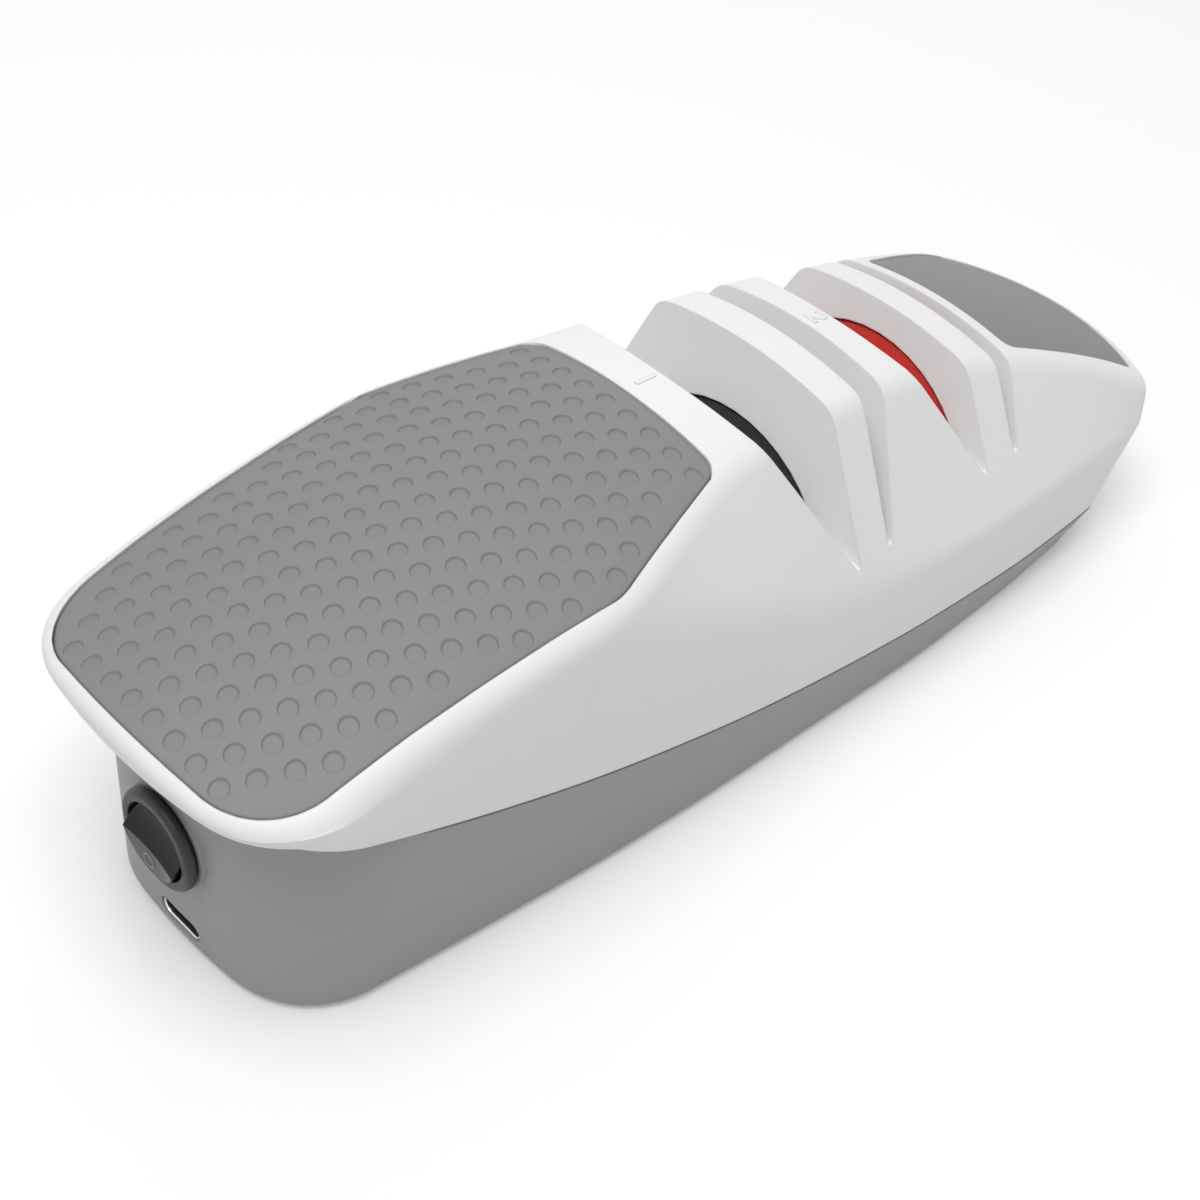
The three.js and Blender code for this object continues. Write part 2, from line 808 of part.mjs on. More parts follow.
function bearingPost(x) {
  const post = box(x, x + bushLength, -postHalf, postHalf, casingFloor - floorWall / 2, shaftHeight - fitGap / 2);
  return cut(post, rodX(x - overrun, x + bushLength + overrun, bushRadius + fitGap, 0, shaftHeight, medium));
}

function bearingCap(x) {
  const top = shaftHeight + bushRadius + capHeight / 2;
  const block = box(x, x + bushLength, -postHalf, postHalf, shaftHeight + fitGap / 2, top);
  const bore = rodX(x - overrun, x + bushLength + overrun, bushRadius + fitGap, 0, shaftHeight, medium);
  const holes = [1, -1].map((side) => rodZ(
    0, top + overrun, smallScrewRadius + fitGap, x + bushLength / 2, side * capScrewOffset, coarse,
  ));
  const step = [1, -1].map((side) => box(
    x - overrun, x + bushLength + overrun,
    Math.min(side * (bushRadius + wall / 2), side * (postHalf + overrun)),
    Math.max(side * (bushRadius + wall / 2), side * (postHalf + overrun)),
    shaftHeight + capHeight, top + overrun,
  ));
  return cut(block, bore, ...holes, ...step);
}

function capScrew(x, side) {
  const y = side * capScrewOffset;
  const middle = x + bushLength / 2;
  const seat = shaftHeight + capHeight + fitGap;
  const shank = rodZ(shaftHeight - capHeight, seat + fitGap, smallScrewRadius, middle, y, coarse);
  const head = rodZ(seat, seat + smallHeadHeight, smallHeadRadius, middle, y, coarse);
  return join(shank, head);
}

const cradleRibs = [-43, -27];
const saddleShare = 0.6;

// A saddle under the motor stands on a lower cradle that holds both cells to half their height
function cradleRib(x) {
  const root = casingFloor - floorWall / 2;
  const saddle = motorRadius * saddleShare;
  const half = cellOffset + cellRadius + wall / 2;
  const plate = join(
    box(x, x + ribThickness, -saddle, saddle, root, shaftHeight - motorRadius / 2),
    box(x, x + ribThickness, -half, half, root, cellHeight),
  );
  const motorCut = rodX(x - overrun, x + 2 * overrun, motorRadius + fitGap, 0, shaftHeight, medium);
  const cellCuts = [1, -1].map((side) => rodX(
    x - overrun, x + 2 * overrun, cellRadius + fitGap, side * cellOffset, cellHeight, medium,
  ));
  return cut(plate, motorCut, ...cellCuts);
}

const cellHeight = casingFloor + fitGap + cellRadius;

// Upright plate that the motor is screwed to
const mountStart = motorFace + fitGap;
const mountEnd = mountStart + mountThickness;

function motorMount() {
  const plate = box(
    mountStart, mountEnd, -mountHalf, mountHalf, casingFloor - floorWall / 2, shaftHeight + mountTall,
  );
  const bossHole = rodX(
    mountStart - overrun, mountEnd + overrun, motorBossRadius + fitGap, 0, shaftHeight, medium,
  );
  const holes = [1, -1].map((side) => rodX(
    mountStart - overrun, mountEnd + overrun, smallScrewRadius + fitGap,
    0, shaftHeight + side * faceScrewOffset, coarse,
  ));
  return cut(plate, bossHole, ...holes);
}

function faceScrew(side) {
  const z = shaftHeight + side * faceScrewOffset;
  const seat = mountEnd + fitGap;
  const shank = rodX(motorFace - 2 * mountThickness, seat + fitGap, smallScrewRadius, 0, z, coarse);
  const head = rodX(seat, seat + smallHeadHeight, smallHeadRadius, 0, z, coarse);
  return join(shank, head);
}

function screwPost(x, y) {
  return rodZ(casingFloor - floorWall / 2, bossStart(x) - fitGap, postRadius, x, y, coarse);
}

function socketCut(grow, x0, x1) {
  const outline = stadium(socketWidth / 2 + grow, socketTall / 2 + grow, cornerSteps);
  return prismX(outline.map(([y, z]) => [y, z + socketHeight]), x0, x1);
}

// Near wall of the casing at a given height, on the outside
function nearFace(z) {
  const rise = (z - casingBase - bottomRound) / (seamNearHeight - casingBase - bottomRound);
  return casingNear + nearDraft * (1 - rise);
}

const switchFace = nearFace(switchHeight + flangeRadius);
const socketFace = nearFace(socketHeight) + socketRecess;

function lowerCasing() {
  const skin = casingOutside();
  const shell = cut(skin, casingInside());
  const seatRadius = flangeRadius + fitGap;
  const switchSeat = rodX(switchFace, switchFace + 2 * wall, seatRadius, 0, switchHeight, fine);
  const bottomFace = switchFace + wall;
  const fittings = join(
    bearingPost(bushNear), bearingPost(bushFar), motorMount(),
    ...cradleRibs.map(cradleRib), ...screwPlaces.map(([x, y]) => screwPost(x, y)),
  );
  const switchHole = rodX(switchFace - overrun, bottomFace + overrun, barrelRadius + fitGap, 0, switchHeight, fine);
  const feet = footPlaces.map(([x, y]) => rodZ(
    -overrun, casingBase + footDepth, footRadius + fitGap, x, y, medium,
  ));
  const capHoles = [bushNear, bushFar].flatMap((x) => [1, -1].map((side) => rodZ(
    shaftHeight - capHeight - fitGap, shaftHeight + overrun, smallScrewRadius + fitGap,
    x + bushLength / 2, side * capScrewOffset, coarse,
  )));
  const heads = screwPlaces.map(([x, y]) => rodZ(
    -overrun, screwSeat(x), screwHeadRadius + fitGap, x, y, coarse,
  ));
  return cut(
    join(shell, seamLip(), switchSeat, fittings), switchHole, ...feet, ...capHoles, ...heads,
    screwHoles(screwRadius + fitGap),
    socketCut(socketMargin, -length, socketFace), socketCut(fitGap, -length, socketFace + 2 * wall),
  );
}

// Drive line pieces

const jawReach = 3.2;
const jawCount = 3;
const couplingRadius = 7.5;
const couplingBody = 4;
const couplingStart = mountEnd + fitGap + smallHeadHeight + jawReach / 4;
const couplingEnd = couplingStart + 2 * couplingBody + jawReach;

function jaws(x0, x1, turn) {
  const sector = Math.PI / jawCount / 2;
  const list = [];
  for (let i = 0; i < jawCount; i++) {
    const middle = turn + 2 * Math.PI * i / jawCount;
    const shape = [];
    for (let step = 0; step <= 4; step++) {
      const angle = middle + sector * (step / 2 - 1) / 2;
      shape.push([couplingRadius * Math.cos(angle), couplingRadius * Math.sin(angle) + shaftHeight]);
    }
    for (let step = 4; step >= 0; step--) {
      const angle = middle + sector * (step / 2 - 1) / 2;
      const inner = couplingRadius / 2;
      shape.push([inner * Math.cos(angle), inner * Math.sin(angle) + shaftHeight]);
    }
    list.push(prismX(shape, x0, x1));
  }
  return join(...list);
}

function couplingHub(x0, x1, jawStart, jawEnd, turn, bore) {
  const body = rodX(x0, x1, couplingRadius, 0, shaftHeight, medium);
  const hole = rodX(x0 - overrun, x1 + overrun, bore + fitGap, 0, shaftHeight, coarse);
  return cut(join(body, jaws(jawStart, jawEnd, turn)), hole);
}

function spider() {
  const start = couplingStart + couplingBody + fitGap;
  const end = couplingEnd - couplingBody - fitGap;
  const ring = tube(start, end, shaftRadius + fitGap, couplingRadius / 2 - fitGap, 0, shaftHeight, medium);
  const armHalf = couplingRadius / 2 * Math.sin(Math.PI / jawCount / 4);
  const arms = [];
  for (let i = 0; i < 2 * jawCount; i++) {
    const angle = Math.PI * (i + 1 / 2) / jawCount;
    const geometry = new THREE.BoxGeometry(end - start, couplingRadius / 2 + fitGap, 2 * armHalf);
    geometry.translate((start + end) / 2, couplingRadius * 3 / 4 - fitGap, 0);
    geometry.rotateX(angle);
    geometry.translate(0, 0, shaftHeight);
    arms.push(toSolid(geometry));
  }
  return join(ring, ...arms);
}

function driveLine() {
  addPart('fine_wheel', toGeometry(wheel(firstFin)), 'blackGrit');
  addPart('coarse_wheel', toGeometry(wheel(secondFin)), 'redGrit');
  addPart('fine_hub', toGeometry(hub(firstFin)), 'black');
  addPart('coarse_hub', toGeometry(hub(secondFin)), 'black');
  const shaftStart = couplingEnd - couplingBody + fitGap;
  addPart('drive_shaft', toGeometry(rodX(shaftStart, shaftFar, shaftRadius, 0, shaftHeight, medium)), 'steel');
  const sleeveFrom = wheelProfile(firstFin, 0).footFar + fitGap;
  const sleeveTo = wheelProfile(secondFin, 0).footNear - hubWall - 2 * fitGap;
  addPart('spacer_sleeve', toGeometry(tube(
    sleeveFrom, sleeveTo, shaftRadius + fitGap, shaftRadius + hubWall, 0, shaftHeight, medium,
  )), 'zinc');
  const collarFrom = bushNear + bushLength + fitGap;
  const collarTo = wheelProfile(firstFin, 0).footNear - hubWall - 2 * fitGap;
  addPart('thrust_collar', toGeometry(tube(
    collarFrom, collarTo, shaftRadius + fitGap, shaftRadius + hubWall, 0, shaftHeight, medium,
  )), 'zinc');
  const clipFrom = bushFar + bushLength + fitGap;
  addPart('shaft_clip', toGeometry(tube(
    clipFrom, clipFrom + hubWall / 2, shaftRadius + fitGap, bushRadius - fitGap, 0, shaftHeight, medium,
  )), 'steel');
  addPart('motor_shaft', toGeometry(rodX(
    motorFace - motorShaftIn, motorFace + motorShaftOut, motorShaftRadius, 0, shaftHeight, coarse,
  )), 'steel');
  const bodyEnd = couplingStart + couplingBody;
  addPart('motor_coupling', toGeometry(couplingHub(
    couplingStart, bodyEnd, bodyEnd - fitGap, bodyEnd + jawReach - fitGap, 0, motorShaftRadius,
  )), 'zinc');
  const farStart = couplingEnd - couplingBody;
  addPart('shaft_coupling', toGeometry(couplingHub(
    farStart, couplingEnd, farStart - jawReach + fitGap, farStart + fitGap, Math.PI / jawCount, shaftRadius,
  )), 'zinc');
  addPart('coupling_spider', toGeometry(spider()), 'amber');
}

function bearings() {
  for (const [name, x] of [['near', bushNear], ['far', bushFar]]) {
    addPart(`${name}_bush`, toGeometry(tube(
      x, x + bushLength, shaftRadius + runGap, bushRadius, 0, shaftHeight, medium,
    )), 'bronze');
    addPart(`${name}_bearing_cap`, toGeometry(bearingCap(x)), 'grey');
    addPart(`${name}_cap_screw_left`, toGeometry(capScrew(x, 1)), 'zinc');
    addPart(`${name}_cap_screw_right`, toGeometry(capScrew(x, -1)), 'zinc');
  }
}

// Motor with its end bell and strap

function motor() {
  const rear = motorFace - motorLength;
  const can = join(
    rodX(rear + bellLength + fitGap, motorFace, motorRadius, 0, shaftHeight, fine),
    rodX(motorFace - fitGap, motorFace + motorBossLength, motorBossRadius, 0, shaftHeight, medium),
  );
  const bore = rodX(motorFace - motorShaftIn - fitGap, motorFace + overrun, motorShaftRadius + fitGap,
    0, shaftHeight, coarse);
  const holes = [1, -1].map((side) => rodX(
    motorFace - 2 * mountThickness - fitGap, motorFace + overrun, smallScrewRadius + fitGap,
    0, shaftHeight + side * faceScrewOffset, coarse,
  ));
  addPart('motor_can', toGeometry(cut(can, bore, ...holes)), 'zinc');
  addPart('motor_screw_upper', toGeometry(faceScrew(1)), 'zinc');
  addPart('motor_screw_lower', toGeometry(faceScrew(-1)), 'zinc');
  const bell = join(
    rodX(rear, rear + bellLength, motorRadius - fitGap, 0, shaftHeight, fine),
    rodX(rear - motorBossLength, rear + fitGap, motorBossRadius, 0, shaftHeight, medium),
  );
  addPart('motor_end_bell', toGeometry(bell), 'black');
}

// Cells and their link

function cells() {
  for (const [name, side] of [['left', 1], ['right', -1]]) {
    const y = side * cellOffset;
    const body = rodX(cellNear, cellNear + cellLength, cellRadius, y, cellHeight, medium);
    const cap = rodX(cellNear - cellNib, cellNear + fitGap, cellRadius / 3, y, cellHeight, coarse);
    addPart(`${name}_cell`, toGeometry(join(body, cap)), 'cellWrap');
  }
}

function cellLink() {
  const near = cellNear + cellLength + fitGap;
  const half = cellOffset + linkTall / 2;
  return box(near, near + linkThickness, -half, half, cellHeight - linkTall / 2, cellHeight + linkTall / 2);
}

// Switch: the bezel with its barrel and pin, and the rocker that tips on the pin

const switchFront = switchFace - flangeThickness;
const pinX = switchFront + pinDepth;
const rockerFront = switchFront - rockerProud;
const barrelEnd = switchFace + barrelLength;

function turnAboutSwitch(solid) {
  const geometry = toGeometry(solid);
  geometry.translate(0, 0, -switchHeight);
  geometry.rotateX(rad(switchTurn));
  geometry.translate(0, 0, switchHeight);
  return geometry;
}

function pin(radius, half) {
  const geometry = revolve([[-half, 0], [-half, radius], [half, radius], [half, 0]], coarse);
  geometry.translate(pinX, 0, switchHeight);
  return toSolid(geometry);
}

function terminalBox(side, grow) {
  const middle = switchHeight + side * terminalOffset;
  return box(
    barrelEnd - terminalSeat - grow, barrelEnd + terminalLength + grow, -terminalHalf - grow, terminalHalf + grow,
    middle - terminalThin / 2 - grow, middle + terminalThin / 2 + grow,
  );
}

function switchBezel() {
  const body = turned([
    [switchFront, 0], [switchFront, flangeRadius - flangeBevel], [switchFront + flangeBevel, flangeRadius],
    [switchFace - fitGap, flangeRadius], [switchFace - fitGap, barrelRadius],
    [barrelEnd, barrelRadius], [barrelEnd, 0],
  ], 0, switchHeight, fine);
  const well = rodX(
    switchFront - overrun, barrelEnd - terminalSeat - wall, rockerRadius + fitGap, 0, switchHeight, fine,
  );
  const pinned = join(cut(body, well), pin(pinRadius, barrelRadius - fitGap));
  return cut(pinned, terminalBox(1, fitGap), terminalBox(-1, fitGap));
}

// Hollow across one half of the rocker's face, deepest in the middle, for a fingertip
function rockerDish(tilt) {
  const reach = rockerRadius + wall;
  const outline = [[-reach, -reach], [-reach, reach]];
  for (let step = 0; step <= dishSteps; step++) {
    const across = 1 - 2 * step / dishSteps;
    outline.push([dishDepth * (1 - across * across), across * rockerRadius]);
  }
  outline.splice(2, 0, [0, reach]);
  outline.push([0, -reach]);
  const shape = outlineShape(outline.reverse());
  const geometry = new THREE.ExtrudeGeometry(shape, { depth: reach, bevelEnabled: false });
  if (tilt === 0) geometry.translate(0, 0, -reach);
  geometry.rotateY(rad(tilt));
  geometry.translate(rockerFront, 0, switchHeight - ridgeDrop);
  return toSolid(geometry);
}

function switchRocker() {
  const ball = new THREE.SphereGeometry(rockerRadius, medium, coarse);
  ball.translate(pinX, 0, switchHeight);
  const ridge = switchHeight - ridgeDrop;
  const reach = rockerRadius + wall;
  const side = prismY([
    [rockerFront, ridge], [rockerFront + reach * Math.tan(rad(rockerTilt)), ridge + reach],
    [pinX + rockerDepth, ridge + reach], [pinX + rockerDepth, ridge - reach], [rockerFront, ridge - reach],
  ].reverse(), -reach, reach);
  return cut(
    toSolid(ball).intersect(side), rockerDish(0), rockerDish(rockerTilt), pin(pinRadius + runGap, reach),
  );
}

// Charging socket and the board behind it

const socketShell = (grow, x0, x1) => socketCut(-grow, x0, x1);
const socketStart = socketFace;
const socketEnd = socketStart + socketDepth;
const boardTop = casingFloor + fitGap + boardThickness;
const boardStart = socketEnd + fitGap;
const boardMiddle = boardStart + boardLength / 2;

function chargeSocket() {
  const inside = socketShell(socketSheet, socketStart - overrun, socketEnd - 2 * socketSheet);
  return cut(socketShell(0, socketStart, socketEnd), inside);
}

function socketTongue() {
  const back = socketEnd - 2 * socketSheet - fitGap;
  const base = socketShell(socketSheet + fitGap, back - 2 * socketRecess, back);
  const half = socketWidth / 2 - socketTall / 2;
  const thin = socketTall / 9;
  const blade = box(
    socketStart + socketRecess, back - socketRecess, -half, half, socketHeight - thin, socketHeight + thin,
  );
  return join(base, blade);
}

function controlBoard() {
  return box(boardStart, boardStart + boardLength, -boardHalf, boardHalf, boardTop - boardThickness, boardTop);
}

function boardParts() {
  const low = boardTop + fitGap;
  addPart('charge_chip', toGeometry(box(
    boardMiddle, boardMiddle + chipSize, chipSize / 2, chipSize * 3 / 2, low, low + chipTall,
  )), 'black');
  const coil = rodZ(low, low + coilTall, coilRadius, boardMiddle, -boardHalf / 2, coarse);
  addPart('board_coil', toGeometry(coil), 'darkGrey');
}

// Feet and case screws

function feetAndScrews() {
  const names = ['near_left', 'near_right', 'far_left', 'far_right'];
  names.forEach((name, i) => {
    const [footX, footY] = footPlaces[i];
    addPart(`${name}_foot`, toGeometry(rodZ(
      0, casingBase + footDepth - fitGap, footRadius, footX, footY, medium,
    )), 'black');
    const [x, y] = screwPlaces[i];
    const seat = screwSeat(x) - fitGap;
    addPart(`${name}_case_screw`, toGeometry(join(
      rodZ(seat - screwHeadHeight, seat, screwHeadRadius, x, y, coarse),
      rodZ(seat - fitGap, seat + screwLength, screwRadius, x, y, coarse),
    )), 'zinc');
  });
}

addPart('upper_shell', toGeometry(upperShell()), 'white');
addPart('lower_casing', toGeometry(lowerCasing()), 'grey');
addPart('grip_pad', toGeometry(padSolid(gripOutline(0), 0)), 'rubberGrey');
addPart('end_pad', toGeometry(padSolid(endPadOutline(0), 0)), 'rubberGrey');
driveLine();
bearings();
motor();
cells();
addPart('cell_link', toGeometry(cellLink()), 'nickel');
addPart('switch_bezel', turnAboutSwitch(switchBezel()), 'darkGrey');
addPart('switch_rocker', turnAboutSwitch(switchRocker()), 'black');
addPart('switch_terminal_upper', turnAboutSwitch(terminalBox(1, 0)), 'brass');
addPart('switch_terminal_lower', turnAboutSwitch(terminalBox(-1, 0)), 'brass');
addPart('charge_socket', toGeometry(chargeSocket()), 'steel');
addPart('socket_tongue', toGeometry(socketTongue()), 'black');
addPart('control_board', toGeometry(controlBoard()), 'board');
boardParts();
feetAndScrews();

export default part;
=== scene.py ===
import math

import bmesh
import bpy
from bpy.props import FloatProperty, FloatVectorProperty, PointerProperty
from mathutils import Matrix, Vector
from mathutils.bvhtree import BVHTree
from mathutils.geometry import delaunay_2d_cdt
from mathutils.interpolate import poly_3d_calc


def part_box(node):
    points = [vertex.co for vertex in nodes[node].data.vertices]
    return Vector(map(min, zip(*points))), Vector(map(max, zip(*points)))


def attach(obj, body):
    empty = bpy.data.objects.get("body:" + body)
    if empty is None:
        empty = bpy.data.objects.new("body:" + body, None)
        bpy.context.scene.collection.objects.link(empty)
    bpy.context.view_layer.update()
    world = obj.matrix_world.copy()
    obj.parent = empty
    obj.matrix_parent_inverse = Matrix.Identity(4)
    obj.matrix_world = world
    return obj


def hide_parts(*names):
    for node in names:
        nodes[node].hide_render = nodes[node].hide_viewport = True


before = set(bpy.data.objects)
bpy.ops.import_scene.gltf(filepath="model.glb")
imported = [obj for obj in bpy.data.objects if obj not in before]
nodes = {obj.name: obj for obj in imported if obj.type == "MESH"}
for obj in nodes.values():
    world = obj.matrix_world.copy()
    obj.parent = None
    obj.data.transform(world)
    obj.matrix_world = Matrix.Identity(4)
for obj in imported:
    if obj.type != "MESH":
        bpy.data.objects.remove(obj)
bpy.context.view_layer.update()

bl_info = {
    "name": "Knife Sharpener Looks",
    "version": (1, 0, 0),
    "blender": (4, 5, 0),
    "location": "3D View > Sidebar > Sharpener",
    "description": "Skins, pads, marks and finishes for a cordless knife sharpener",
    "category": "Object",
}

MM = 0.001


def linear(hex_colour):
    """An sRGB hex value as linear red, green and blue."""
    shares = [int(hex_colour[i:i + 2], 16) / 255 for i in (0, 2, 4)]
    return tuple(s / 12.92 if s <= 0.04045 else ((s + 0.055) / 1.055) ** 2.4 for s in shares)


def length(name, description, default):
    return FloatProperty(
        name=name, description=description, default=default * MM, unit="LENGTH", precision=5,
    )


def colour(name, description, hex_colour):
    return FloatVectorProperty(
        name=name, description=description, default=linear(hex_colour),
        subtype="COLOR", size=3, min=0, max=1,
    )


class SharpenerSizes(bpy.types.PropertyGroup):
    """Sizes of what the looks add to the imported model."""
    dimple_diameter: length("Dimple diameter", "Width of one round dimple in the grip pad", 2.9)
    dimple_depth: length("Dimple depth", "How far the flat floor of a dimple lies under the pad", 0.4)
    row_pitch: length("Row pitch", "Distance between rows of dimples along the body", 4.39)
    dimple_pitch: length("Dimple pitch", "Distance between dimples in a row", 4.8)
    pad_edge: length("Pad edge", "Radius of the pads' top edge", 0.35)
    mark_height: length("Mark height", "Height of the stage numbers on the shell", 4.2)
    mark_proud: length("Mark relief", "How far the stage numbers stand proud", 0.2)
    edge_round: length("Edge radius", "Softening of the moulded edges", 0.45)


class SharpenerColours(bpy.types.PropertyGroup):
    """Colours of the surfaces that show."""
    shell: colour("Shell", "White moulded shell", "f1f1f1")
    casing: colour("Casing", "Grey moulded casing", "a1a1a1")
    pad: colour("Pads", "Grey overmoulded pads", "868686")
    fine_grit: colour("Fine wheel", "Black abrasive", "1c1c1d")
    coarse_grit: colour("Coarse wheel", "Red abrasive", "c8251b")
    bezel: colour("Bezel", "Dark switch bezel", "222223")
    rocker: colour("Rocker", "Black switch rocker", "0b0b0c")


# Materials: the size of flow marks, how far roughness swings, and the marks of metals, in mm and shares

FLOW_LENGTH, GRAIN_SWING = 28, 0.05
STREAK_SWING, STREAK_VARY, STREAK_RELIEF = 0.1, 0.06, 0.01


def add_node(material, kind, inputs=None, **settings):
    """Adds a shader node; an input is either a value or the output socket that feeds it."""
    tree = material.node_tree
    node = tree.nodes.new(kind)
    for key, value in settings.items():
        setattr(node, key, value)
    for key, value in (inputs or {}).items():
        if isinstance(value, bpy.types.NodeSocket):
            tree.links.new(value, node.inputs[key])
        else:
            node.inputs[key].default_value = value
    return node


def feed(node, key, source):
    """Feeds an input of a shader node from the output socket of another."""
    node.id_data.links.new(source, node.inputs[key])


def seen_directly(material):
    """One for what the lens sees, itself or by way of a gloss or glass, and zero for light on the object."""
    rays = add_node(material, "ShaderNodeLightPath")
    seen = add_node(material, "ShaderNodeMath", {
        0: rays.outputs["Is Camera Ray"], 1: rays.outputs["Is Glossy Ray"],
    }, operation="MAXIMUM")
    return add_node(material, "ShaderNodeMath", {
        0: seen.outputs["Value"], 1: rays.outputs["Is Transmission Ray"],
    }, operation="MAXIMUM").outputs["Value"]


def fresh_material(name, base, roughness, metallic=0.0, ior=1.5):
    material = bpy.data.materials.new(name)
    material.use_nodes = True
    shader = material.node_tree.nodes["Principled BSDF"]
    shader.inputs["Base Color"].default_value = (*base, 1)
    shader.inputs["Roughness"].default_value = roughness
    shader.inputs["Metallic"].default_value = metallic
    shader.inputs["IOR"].default_value = ior
    return material, shader


def tint(material, shader, base, pattern, vary):
    """Varies the base colour by a share each way, by a pattern from 0 to 1."""
    low, high = [c * (1 - vary) for c in base], [min(c * (1 + vary), 1) for c in base]
    mix = add_node(material, "ShaderNodeMix", {
        "Factor": pattern, "A": (*low, 1), "B": (*high, 1),
    }, data_type="RGBA")
    feed(shader, "Base Color", mix.outputs["Result"])


def moulded(name, base, roughness, grain, relief, vary, edge=0.0, ior=1.5):
    """A moulded plastic or rubber: the tool's grain, soft edges and faint flow marks."""
    material, shader = fresh_material(name, base, roughness, ior=ior)
    place = add_node(material, "ShaderNodeTexCoord").outputs["Object"]
    texture = add_node(material, "ShaderNodeTexNoise", {
        "Vector": place, "Scale": 1 / (grain * MM), "Detail": 3.0, "Roughness": 0.6,
    })
    flow = add_node(material, "ShaderNodeTexNoise", {
        "Vector": place, "Scale": 1 / (FLOW_LENGTH * MM), "Detail": 2.0,
    })
    tint(material, shader, base, flow.outputs["Fac"], vary)
    rough = add_node(material, "ShaderNodeMapRange", {
        "Value": texture.outputs["Fac"], "From Min": 0.3, "From Max": 0.7,
        "To Min": roughness - GRAIN_SWING, "To Max": roughness + GRAIN_SWING,
    })
    feed(shader, "Roughness", rough.outputs["Result"])
    bump = add_node(material, "ShaderNodeBump", {
        "Height": texture.outputs["Fac"], "Distance": relief * MM, "Strength": 1.0,
    })
    if edge:
        soft = add_node(material, "ShaderNodeBevel", {"Radius": edge}, samples=6)
        feed(bump, "Normal", soft.outputs["Normal"])
    feed(shader, "Normal", bump.outputs["Normal"])
    return material


def grit(name, base, fleck, size, relief, roughness):
    """A bonded abrasive: packed grains as cells, some of which catch the light."""
    material, shader = fresh_material(name, base, roughness)
    place = add_node(material, "ShaderNodeTexCoord").outputs["Object"]
    cells = add_node(material, "ShaderNodeTexVoronoi", {"Vector": place, "Scale": 1 / (size * MM)})
    chance = add_node(material, "ShaderNodeSeparateColor", {"Color": cells.outputs["Color"]})
    share = add_node(material, "ShaderNodeMapRange", {
        "Value": chance.outputs["Red"], "From Min": 0.55, "From Max": 1.0, "To Min": 0.0, "To Max": 0.6,
    })
    mix = add_node(material, "ShaderNodeMix", {
        "Factor": share.outputs["Result"], "A": (*base, 1), "B": (*fleck, 1),
    }, data_type="RGBA")
    feed(shader, "Base Color", mix.outputs["Result"])
    bump = add_node(material, "ShaderNodeBump", {
        "Height": cells.outputs["Distance"], "Distance": relief * MM, "Strength": 0.8,
    })
    feed(shader, "Normal", bump.outputs["Normal"])
    return material


def metal(name, base, roughness, streak, across):
    """A metal with marks of how it was made, streak long and across wide, in mm."""
    material, shader = fresh_material(name, base, roughness, metallic=1.0)
    place = add_node(material, "ShaderNodeTexCoord").outputs["Object"]
    stretch = add_node(material, "ShaderNodeMapping", {
        "Vector": place, "Scale": (1 / (across * MM), 1 / (streak * MM), 1 / (streak * MM)),
    })
    marks = add_node(material, "ShaderNodeTexNoise", {
        "Vector": stretch.outputs["Vector"], "Scale": 1.0, "Detail": 3.0,
    })
    tint(material, shader, base, marks.outputs["Fac"], STREAK_VARY)
    rough = add_node(material, "ShaderNodeMapRange", {
        "Value": marks.outputs["Fac"],
        "To Min": roughness - STREAK_SWING, "To Max": roughness + STREAK_SWING,
    })
    feed(shader, "Roughness", rough.outputs["Result"])
    bump = add_node(material, "ShaderNodeBump", {
        "Height": marks.outputs["Fac"], "Distance": STREAK_RELIEF * MM,
    })
    feed(shader, "Normal", bump.outputs["Normal"])
    return material


def dress(material, *names):
    """Gives carried-over CAD nodes a material in place of their plain one."""
    for name in names:
        for slot in nodes[name].material_slots:
            slot.material = material


# Meshes: points closer than this are joined, in mm

POINT_WELD, NODE_WELD = 0.0005, 0.002


def mesh_object(name, points, faces, material, body, sharp):
    """A smooth shaded object from points in millimetres, riding on a body."""
    mesh = bpy.data.meshes.new(name)
    mesh.from_pydata([Vector(p) * MM for p in points], [], faces)
    mesh.validate()
    work = bmesh.new()
    work.from_mesh(mesh)
    bmesh.ops.remove_doubles(work, verts=work.verts, dist=POINT_WELD * MM)
    bmesh.ops.recalc_face_normals(work, faces=work.faces)
    work.to_mesh(mesh)
    work.free()
    return finish_object(name, mesh, material, body, sharp)


def finish_object(name, mesh, material, body, sharp):
    """A smooth shaded object from a mesh, with its edges sharp above an angle in degrees."""
    for face in mesh.polygons:
        face.use_smooth = True
    mesh.set_sharp_from_angle(angle=math.radians(sharp))
    mesh.materials.clear()
    mesh.materials.append(material)
    piece = bpy.data.objects.new(name, mesh)
    bpy.context.scene.collection.objects.link(piece)
    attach(piece, body)
    return piece


def ring_faces(rows, count, base=0):
    """Faces between closed rings of points that follow one another."""
    faces = []
    for row in range(base, base + (rows - 1) * count, count):
        for i in range(count):
            j = (i + 1) % count
            faces.append((row + i, row + j, row + count + j, row + count + i))
    return faces


def turned(name, profile, centre, axis, steps, material, body, sharp):
    """A turned form: profile is a list of (along, radius) in mm about an axis through the centre."""
    along = Vector(axis).normalized()
    side = along.orthogonal().normalized()
    other = along.cross(side)
    points = []
    for position, radius in profile:
        for step in range(steps):
            angle = 2 * math.pi * step / steps
            out = side * math.cos(angle) + other * math.sin(angle)
            points.append(Vector(centre) + along * position + out * radius)
    return mesh_object(name, points, ring_faces(len(profile), steps), material, body, sharp)


# Forms of the housing, from the part's own sizes in mm

HALF_LENGTH, HALF_WIDTH, HEIGHT = 107.5, 32.2, 64.0
CROWN_RADIUS = 76.0
RIM_RISE, RIM_ROUND = 0.3, 2.6
